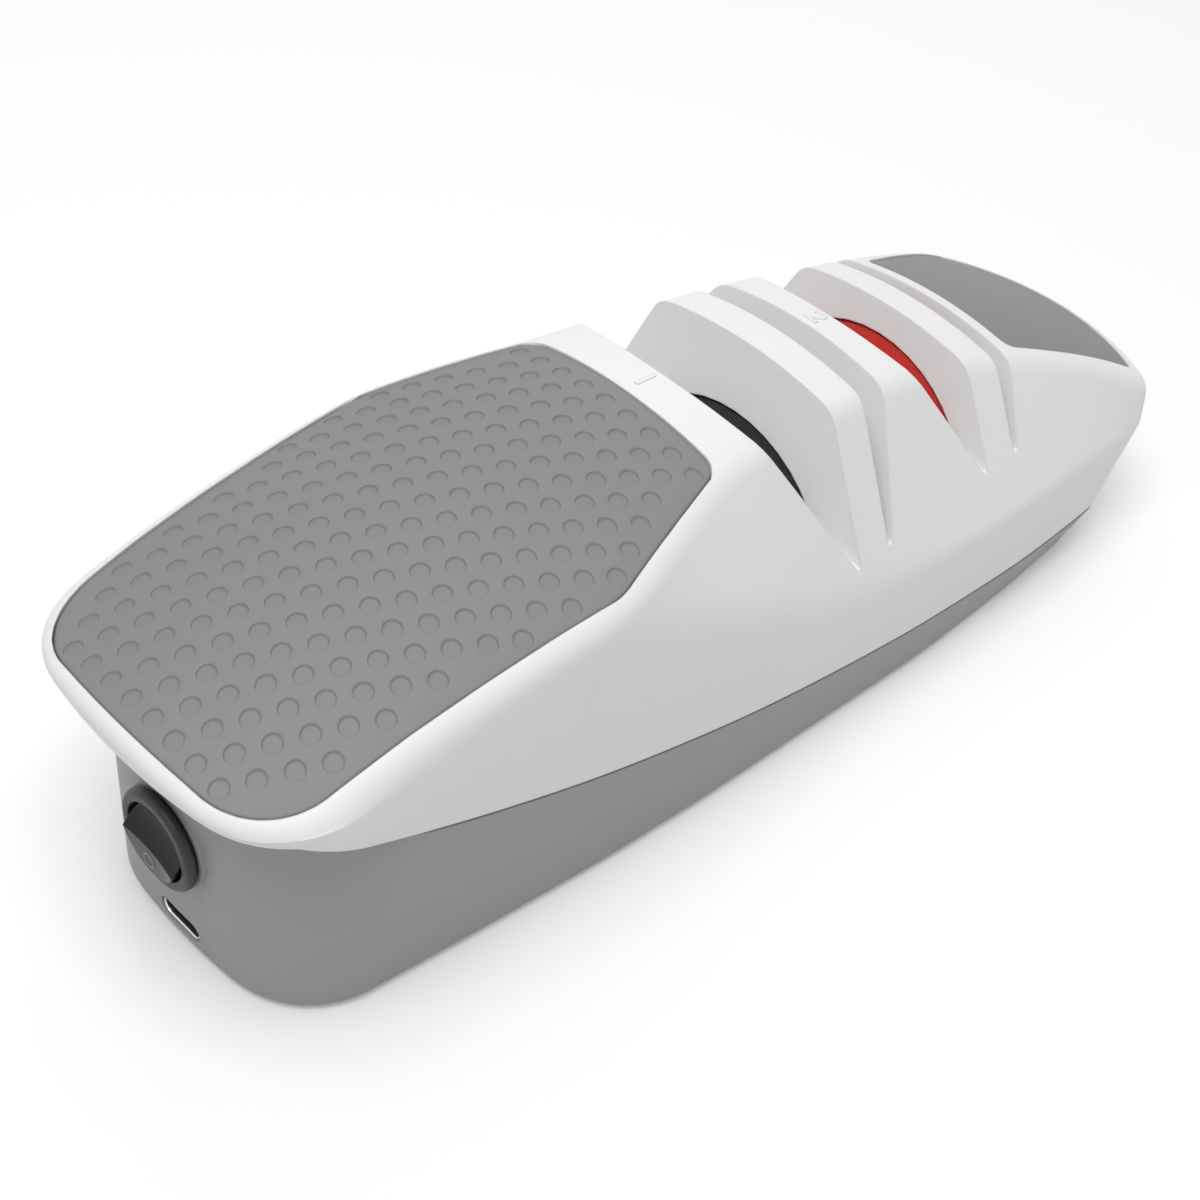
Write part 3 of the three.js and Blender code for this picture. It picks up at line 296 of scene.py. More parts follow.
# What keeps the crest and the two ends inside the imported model's box
CREST_START, CREST_PULL = 62.6, 0.08
NEAR_TRIM, FAR_TRIM = 0.09, 0.02
EASE_REACH = 5.0
NEAR_BOW, FAR_BOW = 110.0, 44.0
CORNER_PULL = 0.82
NEAR_CORNER, FAR_CORNER = 14.5, 3.0
CREASE_INSET, LIP_INSET = 0.8, 1.9
# How far the crease is eased at each end, where along the body that changes, and the most of the way
NEAR_REACH, FAR_REACH, REACH_START, REACH_SPAN, MOST_EASED = 4.5, 1.2, -10, 70, 0.45
LIP_ROUND, MOST_ROUNDED, CASING_ROUND = 0.3, 0.3, 0.12
SEAM_NEAR, SEAM_FAR = -97.5, 95.5
SEAM_NEAR_HEIGHT, SEAM_FAR_HEIGHT, SEAM_FALL = 44.4, 9.8, 2.42
SEAM_GAP = 0.35
CASING_NEAR, NEAR_DRAFT, FAR_DRAFT = -100.3, 1.7, 4.6
CASING_CORNER, CASING_FOOT_CORNER = 27.048, 15.005
CASING_BASE, BOTTOM_ROUND = 0.6, 1.6
# How finely the forms are cut: along the side, round a corner, across a bow and up a section
STATIONS, CORNER_STEPS, BOW_STEPS, BEND_STEPS, LIP_STEPS, WALL_STEPS, CAP_STEPS = 150, 22, 10, 8, 4, 8, 12

# Shares of the height or of the half width, each at a share of the half length
CROWN_SHARES = [
    (-1, 0.775), (-0.781, 0.891), (-0.58, 0.956), (-0.391, 0.99), (-0.205, 1), (-0.03, 0.984), (0.112, 0.951),
    (0.28, 0.904), (0.447, 0.831), (0.586, 0.762), (0.781, 0.638), (0.912, 0.53), (1, 0.438),
]
SIDE_SHARES = [
    (-0.88, 0.945), (-0.42, 0.985), (-0.1, 1), (0.28, 1),
    (0.56, 0.98), (0.75, 0.935), (0.9, 0.875), (1, 0.825),
]
BOTTOM_SHARES = [
    (-0.8, 0.8), (-0.69, 0.835), (-0.56, 0.872), (-0.37, 0.92), (-0.17, 0.945), (0.33, 0.955),
    (0.56, 0.915), (0.76, 0.845), (0.9, 0.77),
]
EDGE_SHARES = [
    (-0.88, 0.905), (-0.78, 0.925), (-0.6, 0.95), (-0.39, 0.976), (-0.13, 0.672), (0.112, 0.592),
    (0.28, 0.562), (0.447, 0.572), (0.586, 0.612), (0.781, 0.712), (0.912, 0.84), (1, 0.89),
]
CREASE_SHARES = [
    (-1, 0.715), (-0.781, 0.745), (-0.58, 0.79), (-0.42, 0.83), (-0.198, 0.694), (0, 0.522),
    (0.19, 0.434), (0.4, 0.4), (0.716, 0.378), (0.9, 0.345), (1, 0.34),
]


def step_at(shares, at):
    """Which step of a list of shares a place falls in."""
    step = 0
    while step < len(shares) - 2 and at > shares[step + 1][0]:
        step += 1
    return step


def between(shares, x):
    """A share read from a list by straight lines."""
    at = x / HALF_LENGTH
    step = step_at(shares, at)
    (a, low), (b, high) = shares[step], shares[step + 1]
    return low + (high - low) * (at - a) / (b - a)


def eased(shares, x):
    """The same with its corners rounded, as a mean over a short reach."""
    return sum(between(shares, x + step * EASE_REACH) for step in (-1, -0.5, 0, 0.5, 1)) / 5


def sized(size, shares):
    """A size as a function of the place along the body."""
    return lambda x: size * eased(shares, x)


side_at = sized(HALF_WIDTH, SIDE_SHARES)
bottom_at = sized(HALF_WIDTH, BOTTOM_SHARES)
edge_at = sized(HALF_WIDTH, EDGE_SHARES)
crease_at = sized(HEIGHT, CREASE_SHARES)


def smooth(t):
    """A share that starts and ends gently."""
    return t * t * (3 - 2 * t)


def seam(x):
    """Height of the seam between the shell and the casing."""
    share = min(max((SEAM_FAR - x) / (SEAM_FAR - SEAM_NEAR), 0), 1)
    return SEAM_FAR_HEIGHT + (SEAM_NEAR_HEIGHT - SEAM_FAR_HEIGHT) * share ** SEAM_FALL


def crown(x, y):
    """Height of the crown over a place in plan: a smooth curve through its shares, rounded across."""
    at, shares = x / HALF_LENGTH, CROWN_SHARES
    step = step_at(shares, at)

    def slope(i):
        before, after = shares[max(i - 1, 0)], shares[min(i + 1, len(shares) - 1)]
        return (after[1] - before[1]) / (after[0] - before[0])

    (a, value_a), (b, value_b) = shares[step], shares[step + 1]
    span = b - a
    t = (at - a) / span
    share = value_a * (1 - smooth(t)) + value_b * smooth(t)
    share += t * (1 - t) ** 2 * span * slope(step) + t * t * (t - 1) * span * slope(step + 1)
    return HEIGHT * share - y * y / (2 * CROWN_RADIUS)


def shell_top(x, y):
    """Height of the shell's top, drawn in a little at the crest."""
    top = crown(x, y) + RIM_RISE
    return top - CREST_PULL * max(top - CREST_START, 0) ** 2


def half_outline(near, far, half, near_round, far_round):
    """Half an outline in plan, from the near middle round the side to the far middle."""
    def near_x(y):
        return near + y * y / (2 * NEAR_BOW)

    def far_x(y):
        return far - y * y / (2 * FAR_BOW)

    def corner(start, tip, end):
        """Points that round a corner from start by way of tip to end."""
        points = []
        for i in range(CORNER_STEPS + 1):
            t = i / CORNER_STEPS
            fall, middle, rise = (1 - t) ** 2, 2 * CORNER_PULL * t * (1 - t), t * t
            whole = fall + middle + rise
            spots = zip(start, tip, end)
            points.append(tuple((fall * a + middle * b + rise * c) / whole for a, b, c in spots))
        return points

    near_side = half(near + near_round)
    near_start = near_side - near_round
    far_spot = far - (half(far) - far_round) ** 2 / (2 * FAR_BOW) - far_round
    far_side = half(far_spot)
    far_start = far_side - far_round
    near_tip = near_x(near_start) + near_start / NEAR_BOW * near_round
    near_end = near_tip + near_round
    far_tip = far_x(far_start) - far_start / FAR_BOW * far_round
    far_end = far_tip - far_round
    points = [(near_x(near_start * i / BOW_STEPS), near_start * i / BOW_STEPS) for i in range(BOW_STEPS + 1)]
    points += corner(points[-1], (near_tip, near_side), (near_end, half(near_end)))[1:]
    for i in range(1, STATIONS):
        x = near_end + (far_end - near_end) * i / STATIONS
        points.append((x, half(x)))
    points += corner((far_end, half(far_end)), (far_tip, far_side), (far_x(far_start), far_start))
    shares = [1 - i / BOW_STEPS for i in range(1, BOW_STEPS + 1)]
    return points + [(far_x(far_start * share), far_start * share) for share in shares]


def raised(outline, level):
    """The outline in space, at a level for each place in plan."""
    return [Vector((x, y, level(x, y))) for x, y in outline]


def bend(start, tip, end, steps):
    """Rings that round a corner of the section from start by way of tip to end."""
    shares = [step / steps for step in range(steps + 1)]
    return [
        [a * (1 - t) ** 2 + b * 2 * t * (1 - t) + c * t * t for a, b, c in zip(start, tip, end)]
        for t in shares
    ]


def towards(ring, other, distance, most=1.0):
    """The ring moved towards another by a distance, and by no more than a share of the way."""
    return [a + (b - a).normalized() * min(distance, (b - a).length * most) for a, b in zip(ring, other)]


def eased_crease(crease, other):
    """Where the easing of the crease begins: away from it at the switch end, close at the far end."""
    ring = []
    for a, b in zip(crease, other):
        share = min(max((a.x - REACH_START) / REACH_SPAN, 0), 1)
        reach = NEAR_REACH + (FAR_REACH - NEAR_REACH) * smooth(share)
        ring.append(a + (b - a).normalized() * min(reach, (b - a).length * MOST_EASED))
    return ring


def cap_rings(ring, level):
    """Rings that close the top: each row across the body is cut into even steps."""
    shares = [1 - step / CAP_STEPS for step in range(1, CAP_STEPS + 1)]
    return [[Vector((p.x, p.y * share, level(p.x, p.y * share))) for p in ring] for share in shares]


def quarter(radius, turns):
    """How far a rounded edge is drawn in and sunk, at turns in degrees."""
    angles = [math.radians(turn) for turn in turns]
    return [(radius * (1 - math.cos(angle)), radius * (1 - math.sin(angle))) for angle in angles]


def form_mesh(rings):
    """Points and faces of a loft of half rings and their mirror."""
    points, faces = [], []
    count = len(rings[0])
    for side in (1, -1):
        base = len(points)
        points += [Vector((p.x, p.y * side, p.z)) for ring in rings for p in ring]
        for row in range(len(rings) - 1):
            for i in range(count - 1):
                a = base + row * count + i
                face = [a, a + 1, a + 1 + count, a + count]
                faces.append(face[::-1] if side == 1 else face)
    return points, faces


def shell_form():
    """The shell's outer surface at full fineness, with its crease eased."""
    def full(half, drawn_in, end_inset):
        return half_outline(
            -HALF_LENGTH + end_inset + NEAR_TRIM, HALF_LENGTH - end_inset - FAR_TRIM,
            lambda x: half(x) - drawn_in, NEAR_CORNER, FAR_CORNER,
        )

    def lip(drawn_in):
        return raised(half_outline(
            -HALF_LENGTH + LIP_INSET + drawn_in, SEAM_FAR - drawn_in, lambda x: side_at(x) - drawn_in,
            NEAR_CORNER, FAR_CORNER,
        ), lambda x, y: seam(x))

    edge = raised(full(edge_at, 0, 0), shell_top)
    inner = raised(full(edge_at, RIM_ROUND, RIM_ROUND), shell_top)
    crease = raised(full(side_at, 0, CREASE_INSET), lambda x, y: crease_at(x))
    base = lip(0)
    lower = towards(edge, crease, RIM_ROUND)
    rings = bend(lip(LIP_ROUND), base, towards(base, crease, LIP_ROUND, MOST_ROUNDED), LIP_STEPS)
    rings += bend(eased_crease(crease, base), crease, eased_crease(crease, lower), BEND_STEPS)
    rings += bend(lower, edge, inner, BEND_STEPS)
    return form_mesh(rings + cap_rings(inner, shell_top))


def casing_form():
    """The casing's outer surface at full fineness."""
    def outline(rise, drawn_in):
        drop = 1 - rise
        corner = CASING_FOOT_CORNER + (CASING_CORNER - CASING_FOOT_CORNER) * rise - drawn_in
        return half_outline(
            CASING_NEAR + NEAR_DRAFT * drop + drawn_in, SEAM_FAR - FAR_DRAFT * drop - drawn_in,
            lambda x: bottom_at(x) * drop + side_at(x) * rise - drawn_in, corner, FAR_CORNER - drawn_in / 2,
        )

    def rim(drawn_in):
        return raised(outline(1, drawn_in), lambda x, y: seam(x) - SEAM_GAP)

    rings = []
    for rise, drawn_in in quarter(BOTTOM_ROUND, range(0, 91, 15)):
        rings.append(raised(outline(0, drawn_in), lambda x, y: CASING_BASE + rise))
    foot, top = rings[-1], rim(0)
    under = towards(top, foot, CASING_ROUND)
    for step in range(1, WALL_STEPS + 1):
        rings.append([a.lerp(b, step / WALL_STEPS) for a, b in zip(foot, under)])
    return form_mesh(rings + bend(under, top, rim(CASING_ROUND), LIP_STEPS)[1:])


# Skins, which are the solids' own faces laid on the forms, in mm and degrees

LONGEST_EDGE, SHORTEST_EDGE, MOST_BEND = 2.4, 0.4, 14
NEAR_FORM, ON_FORM, LEVEL_WITH_FORM = 0.6, 0.05, 0.86
RIM_STEP, RIM_REACH, RIM_LEVEL = 1.0, 1.2, 0.45
SOFT_ANGLE = 22
# How far a point may move to lie on the form, and how level folded and turned faces are with it
LAID_REACH, FOLDED_LEVEL, TURNED_LEVEL = 1.5 * NEAR_FORM, -0.5, 0.7


def soft_normals(mesh):
    """Corner normals as the mean, by area, of the faces there that turn less than the soft angle."""
    limit = math.cos(math.radians(SOFT_ANGLE))
    flats = [(face.normal.copy(), face.area) for face in mesh.polygons]
    around = [[] for _ in mesh.vertices]
    for face in mesh.polygons:
        for vertex in face.vertices:
            around[vertex].append(flats[face.index])
    normals = [None] * len(mesh.loops)
    for face in mesh.polygons:
        own = flats[face.index][0]
        for loop, vertex in zip(face.loop_indices, face.vertices):
            near = (normal * area for normal, area in around[vertex] if normal.dot(own) > limit)
            total = sum(near, Vector())
            normals[loop] = total.normalized() if total.length > 0 else own
    return normals


def nearest_on(outline, place):
    """The place on a closed outline that is nearest in plan, and its distance."""
    best, least = None, math.inf
    for i, end in enumerate(outline):
        start, end = Vector(outline[i - 1]), Vector(end)
        along = end - start
        share = min(max((place - start).dot(along) / along.length_squared, 0), 1)
        spot = start + along * share
        gap = (place - spot).length
        if gap < least:
            best, least = spot, gap
    return best, least


def refined_skin(name, node, form, material, body, rims=(), keep=lambda place: False):
    """The node's own solid, with its outer faces cut finer and laid on the full form.

    The edges of its recesses are laid on the rims, and faces with every corner in a kept place stay.
    """
    points, faces = form
    tree = BVHTree.FromPolygons(points, faces)
    whole = bpy.data.meshes.new("form")
    whole.from_pydata(points, [], faces)
    bent = [Vector(v.normal) for v in whole.vertices]
    bpy.data.meshes.remove(whole)

    def on_form(place):
        """The nearest spot of the form, its normal there and the gap to it."""
        spot, _, index, gap = tree.find_nearest(place)
        weights = poly_3d_calc([points[i] for i in faces[index]], spot)
        normal = sum((bent[i] * w for i, w in zip(faces[index], weights)), Vector())
        return spot, normal.normalized(), gap

    work = bmesh.new()
    work.from_mesh(nodes[node].data)
    bmesh.ops.scale(work, vec=(1 / MM,) * 3, verts=work.verts)
    bmesh.ops.remove_doubles(work, verts=work.verts, dist=NODE_WELD)
    outer = work.faces.layers.int.new("outer")
    for face in work.faces:
        _, normal, gap = on_form(face.calc_center_median())
        level, touch = normal.dot(face.normal), 2 * ON_FORM
        outside = gap < NEAR_FORM and level > LEVEL_WITH_FORM
        outside = outside or gap < touch and level > 0 and all(on_form(v.co)[2] < touch for v in face.verts)
        face[outer] = int(outside and not all(keep(v.co) for v in face.verts))

    def refine(wanted, most):
        """Halves every edge that is wanted, over and over, until none is left."""
        for _ in range(most):
            edges = [e for e in work.edges if wanted(e)]
            if not edges:
                break
            bmesh.ops.subdivide_edges(work, edges=edges, cuts=1)
            bmesh.ops.triangulate(work, faces=[f for f in work.faces if len(f.verts) > 3])

    def on_rim(edge):
        """Whether an edge is where an outer face meets the wall of a recess."""
        return len({f[outer] for f in edge.link_faces}) == 2

    def rim_place(place):
        """The place in plan on the nearest rim, for a place close to one."""
        spots = [nearest_on(rim, place.xy) for rim in rims]
        spot, gap = min(spots, key=lambda found: found[1], default=(None, math.inf))
        return spot if gap < RIM_REACH and on_form(place)[1].z > RIM_LEVEL else None

    def long_on_rim(edge):
        return edge.calc_length() > RIM_STEP and on_rim(edge) and all(rim_place(v.co) for v in edge.verts)

    refine(long_on_rim, 6)
    for vertex in {v for e in work.edges if on_rim(e) for v in e.verts}:
        spot = rim_place(vertex.co)
        if spot:
            vertex.co = on_form(Vector((*spot, vertex.co.z)))[0]
    bends = {}

    def too_coarse(edge):
        """Whether an edge of an outer face is too long for the form's bend."""
        if not any(f[outer] for f in edge.link_faces):
            return False
        span = edge.calc_length()
        if span > LONGEST_EDGE:
            return True
        for vertex in edge.verts:
            if vertex not in bends:
                bends[vertex] = on_form(vertex.co)[1]
        bend_here = bends[edge.verts[0]].angle(bends[edge.verts[1]], 0)
        return span > SHORTEST_EDGE and bend_here > math.radians(MOST_BEND)

    refine(too_coarse, 9)
    laid = set()
    for vertex in work.verts:
        if any(f[outer] for f in vertex.link_faces):
            spot, _, gap = on_form(vertex.co)
            if gap < LAID_REACH:
                vertex.co = spot
                laid.add(vertex)

    def turned_over(face):
        """Whether a face that lies on the form looks inwards, folded over its neighbour."""
        if laid.isdisjoint(face.verts):
            return False
        _, normal, gap = on_form(face.calc_center_median())
        return gap < ON_FORM and normal.dot(face.normal) < FOLDED_LEVEL

    def turns_well(edge):
        """Whether both faces at an edge look outwards once it joins their other corners."""
        if len(edge.link_loops) != 2:
            return False
        one, two = edge.link_loops
        near_tip, far_tip = one.link_loop_prev.vert.co, two.link_loop_prev.vert.co
        for a, b, c in ((near_tip, one.vert.co, far_tip), (far_tip, two.vert.co, near_tip)):
            _, normal, gap = on_form((a + b + c) / 3)
            if gap > ON_FORM or (b - a).cross(c - a).normalized().dot(normal) < TURNED_LEVEL:
                return False
        return True

    for _ in range(3):
        work.normal_update()
        folded = [max(f.edges, key=lambda e: e.calc_length()) for f in work.faces if turned_over(f)]
        for edge in dict.fromkeys(folded):
            if edge.is_valid and turns_well(edge):
                turned_edge = bmesh.utils.edge_rotate(edge)
                for face in turned_edge.link_faces if turned_edge else ():
                    face[outer] = 1
    mesh = bpy.data.meshes.new(name)
    bmesh.ops.scale(work, vec=(MM,) * 3, verts=work.verts)
    for layer in list(work.loops.layers.float_vector.values()):
        work.loops.layers.float_vector.remove(layer)
    work.to_mesh(mesh)
    work.free()
    piece = finish_object(name, mesh, material, body, 180)
    normals = soft_normals(mesh)
    marks = mesh.attributes["outer"].data
    for face in mesh.polygons:
        if marks[face.index].value:
            for loop, vertex in zip(face.loop_indices, face.vertices):
                _, normal, gap = on_form(mesh.vertices[vertex].co / MM)
                if gap < ON_FORM:
                    normals[loop] = normal
    mesh.normals_split_custom_set(normals)
    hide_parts(node)
    return piece


# Pads: their outlines in plan, and a dimple's section as shares of its radius and its depth, in mm

GRIP_NEAR, GRIP_NEAR_HALF, GRIP_CORNER = -105.1, 27.0, 13.0
GRIP_SHOULDER, GRIP_FAR = (-42, 28.9), (-14.6, 20.04)
SHOULDER_ROUND, GRIP_FAR_ROUND = 14, 3.8
END_NEAR, END_FAR, END_NEAR_HALF, END_FAR_HALF = 63.6, 102.6, 16.2, 22.6
END_NEAR_ROUND, END_FAR_ROUND = 2, 1
# Where the end pad's bow starts, and the spot on it that its corner turns to, as shares of the bow
BOW_FROM, AIM_FALL, AIM_WIDTH = 0.94, 0.8, 0.894
PAD_THICKNESS, PAD_SEAT = 2.2, 0.2
DIMPLE_PROFILE = [(1.12, 0), (1.05, 0.06), (0.99, 0.24), (0.95, 0.8), (0.9, 0.97), (0.78, 1.0), (0.38, 1.0)]
DIMPLE_STEPS, DIMPLE_MARGIN = 24, 0.1
# How many dimples each row has, from the switch end, and where the tenth row lies
ROW_COUNTS = [8, 9, 10, 11, 10, 11, 10, 11, 10, 11, 12, 11, 12, 11, 12, 11, 10, 9, 8, 9]
TENTH_ROW = -62.3


def round_corner(before, at, after, radius, steps):
    """Points of an arc that rounds the corner between two neighbours."""
    before, at, after = Vector(before), Vector(at), Vector(after)
    into, out = (before - at).normalized(), (after - at).normalized()
    half = into.angle(out) / 2
    reach = radius / math.tan(half)
    centre = at + (into + out).normalized() * radius / math.sin(half)
    start = at + into * reach - centre
    sweep = start.angle_signed(at + out * reach - centre)
    return [tuple(centre + Matrix.Rotation(-sweep * step / steps, 2) @ start) for step in range(steps + 1)]


def evenly(outline, step=1.2):
    """The closed outline with its long sides cut into even steps, so that it follows the crown."""
    cut = []
    for i, end in enumerate(outline):
        start = Vector(outline[i - 1])
        count = max(1, math.ceil((Vector(end) - start).length / step))
        cut += [tuple(start.lerp(Vector(end), n / count)) for n in range(1, count + 1)]
    return cut


def grip_outline():
    """The grip pad in plan: bowed at the switch end and widest at its shoulders."""
    straight = GRIP_NEAR_HALF - GRIP_CORNER
    meet = straight / (1 - GRIP_CORNER / NEAR_BOW)
    slope = math.atan(meet / NEAR_BOW)
    outline = [(GRIP_NEAR + y * y / (2 * NEAR_BOW), y) for y in [meet * s / 8 for s in range(8)]]
    middle = GRIP_NEAR + meet * meet / (2 * NEAR_BOW) + GRIP_CORNER * math.cos(slope)
    for step in range(25):
        angle = slope + (math.pi / 2 - slope) * step / 24
        outline.append((middle - GRIP_CORNER * math.cos(angle), straight + GRIP_CORNER * math.sin(angle)))
    outline += round_corner(outline[-1], GRIP_SHOULDER, GRIP_FAR, SHOULDER_ROUND, 8)
    outline += round_corner(GRIP_SHOULDER, GRIP_FAR, (GRIP_FAR[0], 0), GRIP_FAR_ROUND, 12)
    return evenly(outline + [(x, -y) for x, y in outline[:0:-1]])


def end_outline():
    """The end pad in plan: straight by the last slot and bowed at the far end."""
    bow = END_FAR_HALF ** 2 / (2 * FAR_BOW)
    inner, outer = (END_NEAR, END_NEAR_HALF), (END_FAR - bow, END_FAR_HALF)
    aim = (END_FAR - bow * AIM_FALL, END_FAR_HALF * AIM_WIDTH)
    outline = round_corner((END_NEAR, 0), inner, outer, END_NEAR_ROUND, 8)
    outline += round_corner(inner, outer, aim, END_FAR_ROUND, 5)
    for step in range(16):
        share = BOW_FROM * (1 - step / 16)
        outline.append((END_FAR - bow * share * share, END_FAR_HALF * share))
    outline.append((END_FAR, 0))
    return evenly(outline + [(x, -y) for x, y in outline[-2::-1]])


def inset(outline, distance):
    """The clockwise outline moved in by a distance, along the mean normal at each point."""
    moved = []
    for i, (x, y) in enumerate(outline):
        before, after = outline[i - 1], outline[(i + 1) % len(outline)]
        along = Vector((after[0] - before[0], after[1] - before[1])).normalized()
        moved.append((x + along.y * distance, y - along.x * distance))
    return moved


def pad_piece(name, node, outline, dimples, sizes, material):
    """A moulded pad: rounded top edge, dimples sunk in the crown, and a plain underside."""
    edge = sizes.pad_edge / MM
    radius = sizes.dimple_diameter / MM / 2
    depth = sizes.dimple_depth / MM
    count = len(outline)
    steps = [(0, PAD_THICKNESS), (0, edge), *quarter(edge, (30, 60, 90))]
    points = [(x, y, crown(x, y) - drop) for distance, drop in steps for x, y in inset(outline, distance)]
    faces = ring_faces(len(steps), count)
    faces.append(tuple(range(count))[::-1])
    rim = inset(outline, edge)
    flat = [Vector(p) for p in rim]
    drops = [0.0] * count
    for centre in map(Vector, dimples):
        # A dimple that would cut the pad's edge is moved in
        spot, gap = nearest_on(rim, centre)
        needed = radius * DIMPLE_PROFILE[0][0] + DIMPLE_MARGIN
        cx, cy = centre + (centre - spot).normalized() * max(needed - gap, 0)
        for share, sunk in DIMPLE_PROFILE:
            for step in range(DIMPLE_STEPS):
                angle = 2 * math.pi * step / DIMPLE_STEPS
                out = radius * share
                flat.append(Vector((cx + out * math.cos(angle), cy + out * math.sin(angle))))
                drops.append(depth * sunk)
        flat.append(Vector((cx, cy)))
        drops.append(depth)
    border = [(i, (i + 1) % count) for i in range(count)]
    places, _, triangles, origins, *_ = delaunay_2d_cdt(flat, border, [], 1, 1e-5)
    base = len(points)
    for (x, y), origin in zip(places, origins):
        points.append((x, y, crown(x, y) - (drops[origin[0]] if origin else 0)))
    faces += [tuple(base + i for i in triangle) for triangle in triangles]
    piece = mesh_object(name, points, faces, material, "housing", 50)
    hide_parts(node)
    return piece


def dimple_places(sizes):
    """The middles of the dimples, in rows across the pad."""
    row_pitch, pitch = sizes.row_pitch / MM, sizes.dimple_pitch / MM
    places = []
    for row, count in enumerate(ROW_COUNTS):
        x = TENTH_ROW + (row - 9) * row_pitch
        places += [(x, (i - (count - 1) / 2) * pitch) for i in range(count)]
    return places


class SHARPENER_OT_pads(bpy.types.Operator):
    """Builds the dimpled grip pad and the plain end pad"""
    bl_idname = "sharpener.pads"
    bl_label = "Pads"

    def execute(self, context):
        sizes, colours = context.scene.sharpener_sizes, context.scene.sharpener_colours
        # Thermoplastic rubber overmoulded in a fine-grained tool: dull, even grey with no hard glints
        rubber = moulded("TPE_overmoulded_fine_grain", colours.pad, 0.62, 0.35, 0.02, 0.03)
        pad_piece("grip_pad_dimpled", "grip_pad", grip_outline(), dimple_places(sizes), sizes, rubber)
        pad_piece("end_pad_plain", "end_pad", end_outline(), [], sizes, rubber)
        return {"FINISHED"}


# Shell and its marks: font size as a share of a mark's height, its depth, its edge and their places

FONT_SHARE, MARK_DEPTH, MARK_BEVEL = 1.4, 0.5, 0.08
MARK_PLACES = {"1": -10.2, "2": 29.9}


def stage_number(text, x, sizes, material):
    """A raised number on the crown, upright for someone at the switch end."""
    curve = bpy.data.curves.new("number", "FONT")
    curve.body = text
    curve.size = sizes.mark_height / MM * FONT_SHARE
    curve.align_x = "CENTER"
    curve.align_y = "CENTER"
    curve.extrude = MARK_DEPTH
    curve.bevel_depth = MARK_BEVEL
    holder = bpy.data.objects.new("number", curve)
    bpy.context.scene.collection.objects.link(holder)
    bpy.context.view_layer.update()
    graph = bpy.context.evaluated_depsgraph_get()
    mesh = bpy.data.meshes.new_from_object(holder.evaluated_get(graph))
    bpy.data.objects.remove(holder)
    bpy.data.curves.remove(curve)
    proud = sizes.mark_proud / MM
    points = []
    for vertex in mesh.vertices:
        across, up, out = vertex.co
        place = (x + up, -across)
        points.append((*place, shell_top(*place) + (proud if out > 0 else -proud)))
    faces = [tuple(p.vertices) for p in mesh.polygons]
    bpy.data.meshes.remove(mesh)
    piece = mesh_object("stage_mark_" + text, points, faces, material, "housing", 30)
    return piece


class SHARPENER_OT_shell(bpy.types.Operator):
    """Builds the white shell's skin and its raised stage numbers"""
    bl_idname = "sharpener.shell"
    bl_label = "Shell"

    def execute(self, context):
        sizes, colours = context.scene.sharpener_sizes, context.scene.sharpener_colours
        # ABS moulded in a satin tool: bright white with a broad soft sheen and softened edges
        abs_white = moulded(
            "ABS_moulded_satin_white", colours.shell, 0.45, 0.4, 0.006, 0.01, sizes.edge_round,
        )
        rims = [inset(outline, -PAD_SEAT) for outline in (grip_outline(), end_outline())]
        shell = refined_skin("shell_skin", "upper_shell", shell_form(), abs_white, "housing", rims)
        for number, x in MARK_PLACES.items():
            stage_number(number, x, sizes, abs_white)
        return {"FINISHED"}


class SHARPENER_OT_casing(bpy.types.Operator):
    """Builds the grey casing's skin, the feet and the case screws' finish"""
    bl_idname = "sharpener.casing"
    bl_label = "Casing, feet and screws"

    def execute(self, context):
        sizes, colours = context.scene.sharpener_sizes, context.scene.sharpener_colours
        # ABS moulded in a spark-eroded tool: an even matt grey that breaks up reflections
        abs_grey = moulded(
            "ABS_moulded_spark_grain_grey", colours.casing, 0.55, 0.5, 0.03, 0.02, sizes.edge_round,
        )

        def in_seat(place):
            """Whether a place lies on the flat round seat that the switch stands on."""
            out = math.hypot(place.y, place.z - SWITCH_HEIGHT)
            return place.x < CASING_NEAR + SEAT_DEPTH and out < SEAT_RADIUS

        casing = refined_skin(
            "casing_skin", "lower_casing", casing_form(), abs_grey, "housing", keep=in_seat,
        )
        dress(abs_grey, "near_bearing_cap", "far_bearing_cap")
        # Zinc plated steel screws: a cool even glint
        zinc = metal("steel_zinc_plated", linear("a9adb0"), 0.35, 1.5, 1.5)
        # EPDM rubber, moulded: nearly black and dull
        rubber = moulded("EPDM_moulded_black", linear("1e1e1f"), 0.75, 0.3, 0.02, 0.05)
        for end in ("near", "far"):
            for side in ("left", "right"):
                dress(zinc, f"{end}_{side}_case_screw")
                low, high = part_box(f"{end}_{side}_foot")
                middle = (low + high) / 2 / MM
                radius = (high.x - low.x) / 2 / MM
                top = high.z / MM
                profile = [
                    (0, 0), (0, radius - 0.35), (0.1, radius - 0.1), (0.35, radius), (top, radius), (top, 0),
                ]
                place = (middle.x, middle.y, 0)
                foot = turned(f"foot_{end}_{side}", profile, place, (0, 0, 1), 48, rubber, "housing", 50)
                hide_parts(f"{end}_{side}_foot")
        return {"FINISHED"}


# Wheels: their section in mm, where the rim's two sides lie past a fin's face, and the cones' angle

WHEEL_RADIUS, WHEEL_FOOT, WHEEL_BORE, WHEEL_EDGE = 21.5, 9.0, 6.3, 0.25
RIM_NEAR, RIM_FAR, CONE_ANGLE = 0.4, 7.4, 20
WHEEL_HEIGHT, FINE_FIN, COARSE_FIN = 25, 12.5, 48.4


